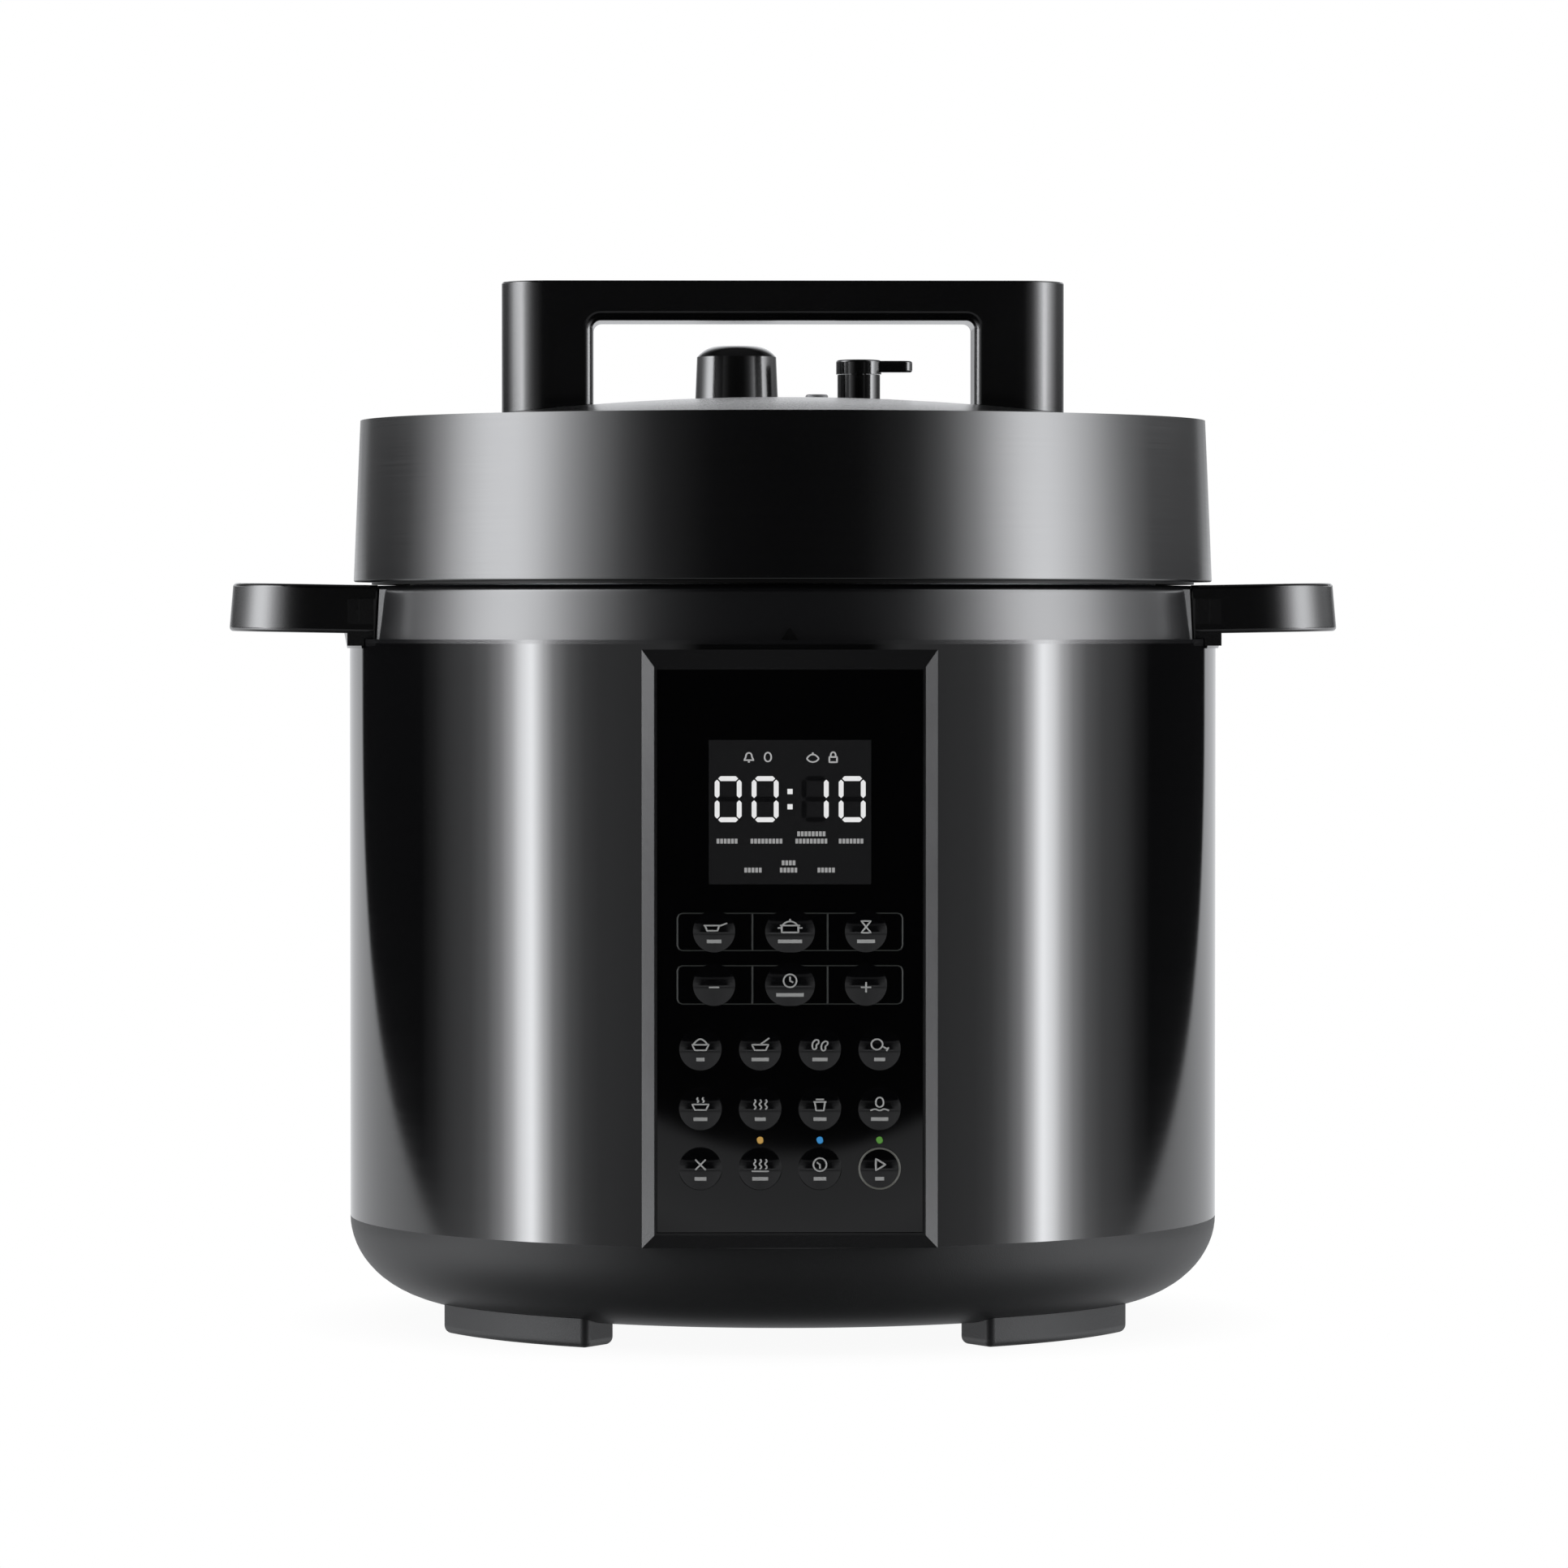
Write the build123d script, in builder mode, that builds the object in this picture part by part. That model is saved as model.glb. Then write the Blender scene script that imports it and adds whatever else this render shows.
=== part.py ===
from build123d import *
import os
from math import sqrt

# Electric pressure cooker of about six litres. All sizes are in millimetres.
# +Z is up, the front of the cooker faces -Y, and the origin lies on the pot's
# axis at the level that the feet stand on.

# Fits between pieces
fit_gap = 0.15
slide_gap = 0.2
seat_gap = 0.3

# Inner pot and the steel liner round it
pot_radius = 110.0
pot_wall = 1.2
pot_base = 3.0
pot_depth = 170.5
pot_corner = 14.0
pot_rim_width = 6.0
liner_gap = 1.8
liner_wall = 1.5
liner_foot_width = 34.5
liner_rise = 10.6
rim_width = 3.5
rim_thickness = 2.0

# Bayonet between the liner and the lid
tooth_count = 6
tooth_angle = 27.0
tooth_length = 4.5
lock_clearance = 1.5
hook_thickness = 2.0
hook_gap = 0.5

# Outer housing
air_gap = 18.5
shell_wall = 0.8
collar_height = 17.4
collar_step = 3.1
collar_draft = 1.2
collar_wall = 3.0
collar_deck = 3.0
collar_flange = 1.2
collar_spigot = 8.0
collar_edge = 2.4
base_wall = 2.5
base_height = 26.0
base_round = 32.0
base_lip = 4.5
base_lip_wall = 1.8
vent_count = 24
vent_length = 12.0
vent_width = 3.5
vent_inset = 19.0
foot_height = 6.5
foot_width = 16.0
foot_reach = 13.0
foot_angle = 34.0
foot_turn = 41.7
foot_edge = 2.4

# Posts that carry the liner, and their screws
post_count = 4
post_height = 43.0
post_radius = 6.0
post_inset = 17.5
screw_radius = 2.0
screw_head_radius = 4.2
screw_head_height = 3.3
screw_recess = 5.0
screw_bite = 6.0

# Heater and temperature sensor
plate_thickness = 12.0
plate_inset = 9.0
plate_edge = 2.0
heater_inset = 39.0
heater_tube = 4.2
heater_arc = 320.0
heater_pin_turn = 10.0
heater_pin_radius = 2.0
heater_pin_length = 12.0
sensor_radius = 17.0
sensor_height = 12.2
sensor_wall = 2.0
sensor_edge = 1.0
sensor_cup_wall = 1.5
sensor_cup_drop = 10.0
sensor_cup_flange = 10.0
sensor_wire_hole = 4.0
spring_radius = 8.0
spring_wire = 0.7
spring_turns = 5

# Boards and pressure switch in the base
board_thickness = 1.6
power_board_width = 84.0
power_board_depth = 44.0
power_board_place = 46.0
standoff_height = 6.0
standoff_radius = 3.0
standoff_inset = 6.0
relay_width = 20.0
relay_depth = 16.0
relay_height = 15.0
capacitor_radius = 8.0
capacitor_height = 20.0
component_spread = 22.0
switch_width = 28.0
switch_depth = 14.0
switch_height = 18.0
plunger_radius = 3.0

# Side handles
handle_reach = 36.1
handle_width = 80.0
handle_corner = 27.5
handle_pocket_corner = 22.3
handle_thickness = 14.7
handle_below_lid = 0.9
handle_draft = 4.0
handle_edge = 1.2
handle_wall = 2.9
handle_roof = 4.3
handle_tilt = 1.0
handle_nose = 0.9
handle_hook_drop = 4.6
handle_hook_wall = 1.5
handle_hook_tip = 0.6
handle_hook_angle = 34.4
handle_cheek_inset = 0.8
handle_cheek_drop = 3.8

# Control panel on the front
panel_proud = 4.5
frame_foot_gap = 0.2
frame_head_gap = 1.6
bevel_side = 3.6
bevel_top = 5.0
bevel_bottom = 4.0
bevel_depth = 4.0
frame_rim = 0.7
frame_ledge = 4.0
frame_spigot_wall = 3.0
glass_thickness = 2.0
glass_recess = 0.3
glass_gap = 0.2
glass_margin = 6.4
board_clearance = 1.9

# Keys, display and lights of the panel
key_radius = 6.1
key_width = 14.4
key_gap = 5.1
key_proud = 0.2
key_crown = 1.0
key_flange = 0.8
key_flange_width = 0.6
key_stem_radius = 2.0
key_travel = 0.6
mode_column_gap = 8.7
switch_button_size = 6.0
switch_button_height = 5.0
display_width = 47.0
display_height = 41.8
light_radius = 0.9

# Heights on the panel, as shares of the glass that keys and display leave free
key_rows = 5
bottom_share = 0.2057
row_share = 0.0849
time_row_share = 0.1082
mode_row_share = 0.055
display_share = 0.1249
light_share = 0.475

# Lid
lid_gap = 1.2
lid_height = 49.4
lid_inset = 1.2
lid_draft = 2.1
lid_wall = 2.5
lid_edge = 3.0
lid_foot_edge = 0.6
lid_lip_inset = 5.5
lid_lip_wall = 1.5
lid_lip_gap = 0.4
dome_radius = 104.0
dome_rise = 7.2
dome_sheet = 1.0
lid_plate_wall = 1.8
crown_rise = 15.7
crown_foot_gap = 4.6
ring_height = 8.2
ring_inset = 1.4
ring_width = 8.8
ring_lip = 1.8
ring_slot = 5.9
rack_wire = 1.3
rack_leg_radius = 1.0
rack_legs = 3

# Lid handle
grip_length = 172.6
grip_depth = 34.0
grip_corner = 15.0
grip_leg = 28.0
grip_clearance = 23.2
grip_bar = 12.2
grip_edge = 0.6
grip_inner_corner = 2.5
grip_inner_edge = 2.8
bolt_radius = 2.5
bolt_head_radius = 4.5
bolt_head_height = 3.0
bolt_bite = 12.0
boss_radius = 6.0
boss_margin = 1.7

# Valves on the lid
valve_x = -13.8
valve_y = 45.0
stud_radius = 4.0
pipe_bore = 1.5
pipe_rise = 10.0
pipe_seat_radius = 9.5
pipe_seat = 1.2
cap_radius = 13.0
cap_draft = 0.6
cap_side = 14.6
cap_crown = 3.2
cap_dimple_radius = 3.2
cap_dimple = 1.0
cap_bulge = 1.6
lever_x = 24.5
lever_y = 45.0
lever_post_radius = 6.7
lever_post_rise = 10.3
pivot_radius = 2.4
pivot_height = 3.1
pivot_gap = 0.06
lever_hub_radius = 7.1
lever_height = 4.5
lever_bar_lift = 0.6
lever_bar_height = 3.6
lever_length = 16.8
lever_width = 6.4
lever_edge = 0.7
float_x = 11.0
float_y = 28.0
float_radius = 2.4
float_head_radius = 3.5
float_head = 2.0
float_travel = 5.0
float_guide_radius = 4.6
float_guide_rise = 0.4
float_foot = 1.5
float_seal_radius = 6.5
float_seal_height = 3.5
nut_radius = 6.5
nut_height = 4.0
nut_thread_end = 1.0
shield_radius = 13.5
shield_wall = 0.8
shield_drop = 10.0
shield_holes = 8
shield_hole_radius = 1.6

# Mains inlet at the back
inlet_height = 58.0
inlet_width = 24.4
inlet_tall = 16.9
inlet_depth = 15.0
inlet_wall = 2.4
inlet_flange = 3.0
inlet_proud = 2.0
inlet_clearance = 2.0
inlet_corner = 2.5
blade_width = 2.0
blade_tall = 4.0
blade_length = 12.0
blade_pitch = 14.0
blade_rise = 1.0
earth_rise = 3.5

# Condensation cup in its bay at the back
bay_width = 63.0
bay_height = 42.0
bay_top_gap = 1.5
bay_wall = 2.0
bay_flange = 2.5
bay_proud = 1.5
bay_clearance = 3.0
bay_corner = 4.0
cup_sheet = 1.6
cup_face = 4.0
cup_face_overlap = 1.6
cup_face_edge = 1.2

# Radii, from the inside of the pot to the outside of the housing
pot_outer = pot_radius + pot_wall
liner_inner = pot_outer + liner_gap
liner_outer = liner_inner + liner_wall
body_radius = liner_outer + air_gap
shell_inner = body_radius - shell_wall
rim_radius = liner_outer + rim_width
tooth_radius = rim_radius + tooth_length
hook_radius = rim_radius + lock_clearance
skirt_inner = tooth_radius + lock_clearance
skirt_outer = skirt_inner + lid_plate_wall
collar_radius = body_radius - collar_step
collar_top_radius = collar_radius - collar_draft
lid_radius = body_radius - lid_inset
lid_top_radius = lid_radius - lid_draft
base_flat = body_radius - base_round
post_ring = liner_outer - post_inset
plate_radius = liner_inner - plate_inset
heater_radius = plate_radius - heater_inset
ring_inner = pot_radius - ring_inset
ring_outer = ring_inner + ring_width

# Heights, from the floor to the top
seam_height = foot_height + base_height
base_floor = foot_height + base_wall
liner_bottom = base_floor + post_height
plate_bottom = liner_bottom + liner_wall
plate_top = plate_bottom + plate_thickness
pot_bottom = plate_top + seat_gap
pot_rim = pot_bottom + pot_depth
pot_top = pot_rim + pot_wall
liner_top = pot_rim - seat_gap
tooth_bottom = liner_top - rim_thickness
collar_top = liner_top - liner_rise
shell_top = collar_top - collar_height
lid_bottom = collar_top + lid_gap
lid_deck = lid_bottom + lid_height
dome_crest = lid_deck + dome_rise
dome_sphere = (dome_radius**2 + dome_rise**2) / (2 * dome_rise)
ring_bottom = pot_top + seat_gap
ring_top = ring_bottom + ring_height
seal_face = ring_top + seat_gap
crown_under = seal_face + crown_rise
crown_top = crown_under + lid_plate_wall
hook_top = tooth_bottom - hook_gap
hook_bottom = hook_top - hook_thickness
grip_under = dome_crest + grip_clearance
grip_top = grip_under + grip_bar
bolt_x = grip_length / 2 - grip_leg / 2
crown_radius = bolt_x + boss_radius + boss_margin

# Places of the round holes that pass through the lid, with their radii
lever_hole = lever_post_radius + slide_gap
float_hole = float_guide_radius + slide_gap
stud_hole = stud_radius + slide_gap
bolt_hole = bolt_radius + slide_gap


def dome_height(x, y, depth=0.0):
    """Height of the lid's domed top at a place, or of a surface that lies deeper under it."""
    return dome_crest - dome_sphere + sqrt((dome_sphere - depth) ** 2 - x**2 - y**2)


def highest_under(x, y, radius):
    """Highest point of the dome under a round foot that stands on it."""
    nearest = max(sqrt(x**2 + y**2) - radius, 0.0)
    return dome_height(nearest, 0.0)


def upright_plane(x, y):
    """A standing plane through a place on the lid, for profiles that are turned there."""
    return Plane(origin=(x, y, 0), x_dir=(1, 0, 0), z_dir=(0, -1, 0))


def upright_axis(x, y):
    """The standing axis through a place on the lid."""
    return Axis((x, y, 0), (0, 0, 1))


def ring_sector(inner, outer, bottom, top, angle):
    """A piece of a ring of square section, centred on the +X direction."""
    with BuildPart() as sector:
        with BuildSketch(Plane.XZ):
            with BuildLine():
                Polyline((inner, bottom), (outer, bottom), (outer, top), (inner, top), close=True)
            make_face()
        revolve(axis=Axis.Z, revolution_arc=angle)
    return sector.part.rotate(Axis.Z, -angle / 2)


def finish(piece, name):
    """Labels a finished piece and writes its STEP file."""
    piece.part.label = name
    export_step(piece.part, f"parts/{name}.step")


os.makedirs("parts", exist_ok=True)

# Base cover: a round moulded tray with the posts that carry the liner
base_centre = (base_flat, seam_height)
base_lip_outer = shell_inner - fit_gap
base_lip_inner = base_lip_outer - base_lip_wall
standoff_x = power_board_width - 2 * standoff_inset
standoff_y = power_board_depth - 2 * standoff_inset
with BuildPart() as base_cover:
    with BuildSketch(Plane.XZ):
        with BuildLine():
            Line((0, foot_height), (base_flat, foot_height))
            EllipticalCenterArc(base_centre, base_round, base_height, 270)
            Polyline(
                (body_radius, seam_height),
                (base_lip_outer, seam_height),
                (base_lip_outer, seam_height + base_lip),
                (base_lip_inner, seam_height + base_lip),
                (base_lip_inner, seam_height),
            )
            EllipticalCenterArc(base_centre, base_lip_inner - base_flat, base_height - base_wall, 270)
            Polyline((base_flat, base_floor), (0, base_floor), (0, foot_height))
        make_face()
    revolve(axis=Axis.Z)
    with BuildSketch(Plane.XY.offset(base_floor)):
        with PolarLocations(post_ring, post_count):
            Circle(post_radius)
    extrude(amount=post_height)
    with BuildSketch(Plane.XY.offset(base_floor)):
        with Locations((0, power_board_place)):
            with GridLocations(standoff_x, standoff_y, 2, 2):
                Circle(standoff_radius)
    extrude(amount=standoff_height)
    with BuildSketch(Plane.XY.offset(foot_height)):
        with PolarLocations(base_flat - vent_inset, vent_count, start_angle=180 / vent_count):
            SlotOverall(vent_length, vent_width)
    extrude(amount=base_wall, mode=Mode.SUBTRACT)
    with BuildSketch(Plane.XY.offset(foot_height)):
        with PolarLocations(post_ring, post_count):
            Circle(screw_radius + slide_gap)
    extrude(amount=liner_bottom - foot_height, mode=Mode.SUBTRACT)
    with BuildSketch(Plane.XY.offset(foot_height)):
        with PolarLocations(post_ring, post_count):
            Circle(screw_head_radius + seat_gap)
    extrude(amount=screw_recess, mode=Mode.SUBTRACT)
finish(base_cover, "base_cover")

# Feet: curved pads under the base, rounded where they meet the table
with BuildPart() as foot_seat:
    with BuildSketch(Plane.XZ):
        with BuildLine():
            Line((0, foot_height), (base_flat, foot_height))
            EllipticalCenterArc(base_centre, base_round + slide_gap, base_height, 270)
            Polyline((body_radius + slide_gap, seam_height), (0, seam_height), (0, foot_height))
        make_face()
    revolve(axis=Axis.Z)
foot_outer = base_flat + foot_reach
foot_block = ring_sector(foot_outer - foot_width, foot_outer, 0, seam_height / 2, foot_angle)
with BuildPart() as foot:
    add(foot_block)
    fillet(foot.edges().filter_by(Axis.Z), foot_edge)
    fillet(foot.faces().sort_by(Axis.Z)[0].edges(), foot_edge)
    add(foot_seat.part, mode=Mode.SUBTRACT)
with BuildPart() as feet:
    add(foot.part.rotate(Axis.Z, -foot_turn))
    mirror(about=Plane.YZ)
    mirror(about=Plane.XZ)
finish(feet, "feet")

# Control panel, set out on the flat front of the housing
frame_bottom = seam_height + frame_foot_gap
frame_top = shell_top - frame_head_gap
frame_front = body_radius + panel_proud
bevel_start = frame_front - bevel_depth
column_pitch = 2 * key_radius + key_gap
glass_half = 1.5 * column_pitch + key_radius + glass_margin
pocket_half = glass_half + glass_gap
rim_half = pocket_half + frame_rim
frame_half = rim_half + bevel_side
rim_bottom = frame_bottom + bevel_bottom
rim_top = frame_top - bevel_top
glass_bottom = rim_bottom + frame_rim + glass_gap
glass_top = rim_top - frame_rim - glass_gap
glass_height = glass_top - glass_bottom
glass_middle = (glass_top + glass_bottom) / 2
glass_front = frame_front - glass_recess
glass_back = glass_front - glass_thickness
window_half = glass_half - frame_ledge
window_height = glass_height - 2 * frame_ledge
spigot_half = window_half + frame_spigot_wall
spigot_height = window_height + 2 * frame_spigot_wall
board_back = liner_outer + board_clearance
board_front = board_back + board_thickness

# Keys: three rows of four round ones, and two rows of three above them
round_width = 2 * key_radius
free_height = glass_height - key_rows * round_width - display_height
row_pitch = round_width + row_share * free_height
row_c = glass_bottom + bottom_share * free_height + key_radius
row_b = row_c + row_pitch
row_a = row_b + row_pitch
time_row = row_a + round_width + time_row_share * free_height
mode_row = time_row + round_width + mode_row_share * free_height
display_bottom = mode_row + key_radius + display_share * free_height
display_middle = display_bottom + display_height / 2
light_row = row_c + light_share * row_pitch
mode_pitch = key_radius + key_width / 2 + mode_column_gap
columns = [column_pitch * step for step in (-1.5, -0.5, 0.5, 1.5)]
keys = {
    "key_saute": (-mode_pitch, mode_row, round_width),
    "key_pressure": (0.0, mode_row, key_width),
    "key_slow": (mode_pitch, mode_row, round_width),
    "key_minus": (-mode_pitch, time_row, round_width),
    "key_time": (0.0, time_row, key_width),
    "key_plus": (mode_pitch, time_row, round_width),
    "key_rice": (columns[0], row_a, round_width),
    "key_porridge": (columns[1], row_a, round_width),
    "key_bean": (columns[2], row_a, round_width),
    "key_meat": (columns[3], row_a, round_width),
    "key_soup": (columns[0], row_b, round_width),
    "key_steam": (columns[1], row_b, round_width),
    "key_yogurt": (columns[2], row_b, round_width),
    "key_bath": (columns[3], row_b, round_width),
    "key_cancel": (columns[0], row_c, round_width),
    "key_warm": (columns[1], row_c, round_width),
    "key_delay": (columns[2], row_c, round_width),
    "key_start": (columns[3], row_c, round_width),
}


def key_outline(width, growth, mode=Mode.ADD):
    """Outline of a key in a sketch: round, or long with round ends."""
    if width > round_width:
        SlotOverall(width + 2 * growth, round_width + 2 * growth, mode=mode)
    else:
        Circle(key_radius + growth, mode=mode)


# Bay of the condensation cup and mains inlet, set out on the back
bay_top = shell_top - collar_spigot - bay_top_gap
bay_middle = bay_top - bay_height / 2
bay_back = liner_outer + bay_clearance
bay_face = body_radius + bay_proud
inlet_back = liner_outer + inlet_clearance
inlet_face = body_radius + inlet_proud
inlet_floor = inlet_face - inlet_depth
inlet_spigot_width = inlet_width + 2 * inlet_wall
inlet_spigot_tall = inlet_tall + 2 * inlet_wall

# Body shell: a rolled sheet of dark steel, open for the panel, the bay and the inlet
with BuildPart() as body_shell:
    with BuildSketch(Plane.XY.offset(seam_height)):
        Circle(body_radius)
        Circle(shell_inner, mode=Mode.SUBTRACT)
    extrude(amount=shell_top - seam_height)
    with BuildSketch(Plane.XZ.offset(board_front)):
        with Locations((0, glass_middle)):
            Rectangle(2 * (spigot_half + slide_gap), spigot_height + 2 * slide_gap)
    extrude(amount=frame_front - board_front, mode=Mode.SUBTRACT)
    with BuildSketch(Plane.XZ.offset(-inlet_back)):
        with Locations((0, bay_middle)):
            RectangleRounded(
                bay_width + 2 * slide_gap, bay_height + 2 * slide_gap, bay_corner + slide_gap
            )
        with Locations((0, inlet_height)):
            Rectangle(inlet_spigot_width + 2 * slide_gap, inlet_spigot_tall + 2 * slide_gap)
    extrude(amount=inlet_back - inlet_face, mode=Mode.SUBTRACT)
finish(body_shell, "body_shell")

# Top collar: the grey moulded ring on the shell, round the liner
collar_lip = liner_outer + slide_gap
collar_inner = collar_radius - collar_wall
collar_spigot_radius = shell_inner - fit_gap
flange_top = shell_top + collar_flange
with BuildPart() as top_collar:
    with BuildSketch(Plane.XZ):
        with BuildLine():
            Polyline(
                (collar_lip, collar_top),
                (collar_top_radius, collar_top),
                (collar_radius, flange_top),
                (body_radius, flange_top),
                (body_radius, shell_top),
                (collar_spigot_radius, shell_top),
                (collar_spigot_radius, shell_top - collar_spigot),
                (collar_inner, shell_top - collar_spigot),
                (collar_inner, collar_top - collar_deck),
                (collar_lip + collar_wall, collar_top - collar_deck),
                (collar_lip + collar_wall, shell_top),
                (collar_lip, shell_top),
                close=True,
            )
        make_face()
    revolve(axis=Axis.Z)
    top_edges = top_collar.edges().filter_by(GeomType.CIRCLE).group_by(Axis.Z)[-1]
    fillet(top_edges.sort_by(SortBy.RADIUS)[-1], collar_edge)
finish(top_collar, "top_collar")

# Side handles: hollow finger grips on the collar, each hooked over the shell's top edge
handle_top = lid_bottom - handle_below_lid
handle_bottom = handle_top - handle_thickness
handle_end = body_radius + handle_reach
handle_hook_inner = body_radius + slide_gap
handle_hook_outer = handle_hook_inner + handle_hook_wall
handle_hook_end = handle_bottom - handle_hook_drop
handle_seat = collar_radius + fit_gap
handle_top_seat = collar_top_radius + fit_gap
hook_seat = flange_top + slide_gap
pocket_end = handle_end - handle_wall
pocket_top = handle_top - handle_roof
corner_x = sqrt((handle_seat + handle_top_seat) ** 2 - handle_width**2) / 2
cheek_end = body_radius - handle_cheek_inset
with BuildPart() as handle_grip:
    with BuildSketch(Plane.XY.offset(handle_bottom)):
        with Locations((handle_end / 2, 0)):
            RectangleRounded(handle_end, handle_width, handle_corner)
    extrude(amount=handle_thickness, taper=handle_draft)
    fillet(handle_grip.faces().sort_by(Axis.Z)[-1].edges(), handle_edge)
    fillet(handle_grip.faces().sort_by(Axis.Z)[0].edges(), handle_edge)
    with BuildSketch(Plane.XY.offset(handle_bottom)):
        with Locations((pocket_end / 2, 0)):
            RectangleRounded(pocket_end, handle_width - 2 * handle_wall, handle_pocket_corner)
        Circle(handle_hook_outer, mode=Mode.SUBTRACT)
    extrude(amount=pocket_top - handle_bottom, mode=Mode.SUBTRACT)
with BuildPart() as handle_hook:
    with BuildSketch(Plane.XZ):
        with BuildLine():
            Polyline(
                (collar_top_radius, hook_seat),
                (handle_hook_inner, hook_seat),
                (handle_hook_inner, handle_hook_end),
                (handle_hook_inner + handle_hook_tip, handle_hook_end),
                (handle_hook_outer, handle_bottom),
                (handle_hook_outer, pocket_top),
                (collar_top_radius, pocket_top),
                close=True,
            )
        make_face()
    revolve(axis=Axis.Z, revolution_arc=handle_hook_angle)
with BuildPart() as handle_cheeks:
    with BuildSketch(Plane.XY.offset(handle_bottom - handle_cheek_drop)):
        with Locations((cheek_end / 2, 0)):
            Rectangle(cheek_end, handle_width - 2 * slide_gap)
        Circle(handle_hook_inner, mode=Mode.SUBTRACT)
    extrude(amount=handle_cheek_drop)
    with BuildSketch(Plane.XY.offset(hook_seat)):
        with Locations((cheek_end / 2, 0)):
            Rectangle(cheek_end, handle_width - 2 * slide_gap)
    extrude(amount=pocket_top - hook_seat)
with BuildPart() as collar_room:
    with BuildSketch(Plane.XZ):
        with BuildLine():
            Polyline(
                (0, handle_hook_end),
                (handle_seat, handle_hook_end),
                (handle_seat, flange_top),
                (handle_top_seat, collar_top),
                (handle_top_seat, lid_bottom),
                (0, lid_bottom),
                close=True,
            )
        make_face()
    revolve(axis=Axis.Z)
with BuildPart() as side_handle_right:
    add(handle_grip.part.rotate(Axis((body_radius, 0, handle_top), (0, 1, 0)), -handle_tilt))
    add(handle_hook.part.rotate(Axis.Z, -handle_hook_angle / 2))
    add(handle_cheeks.part)
    add(collar_room.part, mode=Mode.SUBTRACT)
    with Locations((corner_x, -handle_width / 2, handle_top), (corner_x, handle_width / 2, handle_top)):
        Box(
            2 * handle_nose, 2 * handle_nose, 4 * handle_thickness,
            rotation=(0, 0, 45), mode=Mode.SUBTRACT,
        )
finish(side_handle_right, "side_handle_right")
with BuildPart() as side_handle_left:
    mirror(side_handle_right.part, about=Plane.YZ)
finish(side_handle_left, "side_handle_left")

# Liner: the steel outer pot with an inward foot, a rim and the bayonet teeth
liner_foot_radius = liner_outer - liner_foot_width
liner_tooth = ring_sector(liner_outer, tooth_radius, tooth_bottom, liner_top, tooth_angle)
with BuildPart() as liner_pot:
    with BuildSketch(Plane.XZ):
        with BuildLine():
            Polyline(
                (liner_foot_radius, liner_bottom),
                (liner_outer, liner_bottom),
                (liner_outer, tooth_bottom),
                (rim_radius, tooth_bottom),
                (rim_radius, liner_top),
                (liner_inner, liner_top),
                (liner_inner, plate_bottom),
                (liner_foot_radius, plate_bottom),
                close=True,
            )
        make_face()
    revolve(axis=Axis.Z)
    with PolarLocations(0, tooth_count):
        add(liner_tooth)
    with BuildSketch(Plane.XY.offset(liner_bottom)):
        with PolarLocations(post_ring, post_count):
            Circle(screw_radius + slide_gap)
    extrude(amount=liner_wall, mode=Mode.SUBTRACT)
finish(liner_pot, "liner_pot")

# Heating plate: a thick aluminium casting on the liner's foot
sensor_bore = sensor_radius + seat_gap
sensor_cup_radius = sensor_bore + sensor_cup_wall
with BuildPart() as heating_plate:
    with BuildSketch(Plane.XY.offset(plate_bottom)):
        Circle(plate_radius)
        Circle(sensor_cup_radius + slide_gap, mode=Mode.SUBTRACT)
    extrude(amount=plate_thickness)
    fillet(heating_plate.edges().group_by(Axis.Z)[-1].sort_by(SortBy.RADIUS)[-1], plate_edge)
    with BuildSketch(Plane.XY.offset(plate_bottom)):
        with PolarLocations(post_ring, post_count):
            Circle(screw_radius + fit_gap)
    extrude(amount=screw_bite + seat_gap, mode=Mode.SUBTRACT)
finish(heating_plate, "heating_plate")

# Heater: a sheathed ring under the plate, with its two terminal pins
heater_level = plate_bottom - heater_tube - fit_gap
heater_pin_range = heater_arc - 2 * heater_pin_turn
with BuildPart() as heater_ring:
    with BuildSketch(Plane.XZ):
        with Locations((heater_radius, heater_level)):
            Circle(heater_tube)
    revolve(axis=Axis.Z, revolution_arc=heater_arc)
    with BuildSketch(Plane.XY.offset(heater_level)):
        with PolarLocations(heater_radius, 2, heater_pin_turn, heater_pin_range, endpoint=True):
            Circle(heater_pin_radius)
    extrude(amount=-heater_pin_length)
finish(heater_ring, "heater_ring")

# Base screws: they pass up through the posts and the liner into the heating plate
with BuildPart() as base_screws:
    with BuildSketch(Plane.XY.offset(foot_height + screw_recess)):
        with PolarLocations(post_ring, post_count):
            Circle(screw_head_radius)
    extrude(amount=-screw_head_height)
    with BuildSketch(Plane.XY.offset(foot_height + screw_recess)):
        with PolarLocations(post_ring, post_count):
            Circle(screw_radius)
    extrude(amount=plate_bottom + screw_bite - foot_height - screw_recess)
finish(base_screws, "base_screws")

# Sensor cup: a fixed sleeve in the middle of the heating plate
sensor_top = pot_bottom - seat_gap
sensor_cup_floor = plate_bottom - sensor_cup_drop
with BuildPart() as sensor_cup:
    with BuildSketch(Plane.XZ):
        with BuildLine():
            Polyline(
                (sensor_wire_hole, sensor_cup_floor),
                (sensor_cup_radius, sensor_cup_floor),
                (sensor_cup_radius, plate_bottom - sensor_cup_wall),
                (sensor_cup_radius + sensor_cup_flange, plate_bottom - sensor_cup_wall),
                (sensor_cup_radius + sensor_cup_flange, plate_bottom),
                (sensor_cup_radius, plate_bottom),
                (sensor_cup_radius, sensor_top - sensor_edge),
                (sensor_bore, sensor_top - sensor_edge),
                (sensor_bore, sensor_cup_floor + sensor_cup_wall),
                (sensor_wire_hole, sensor_cup_floor + sensor_cup_wall),
                close=True,
            )
        make_face()
    revolve(axis=Axis.Z)
finish(sensor_cup, "sensor_cup")

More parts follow.
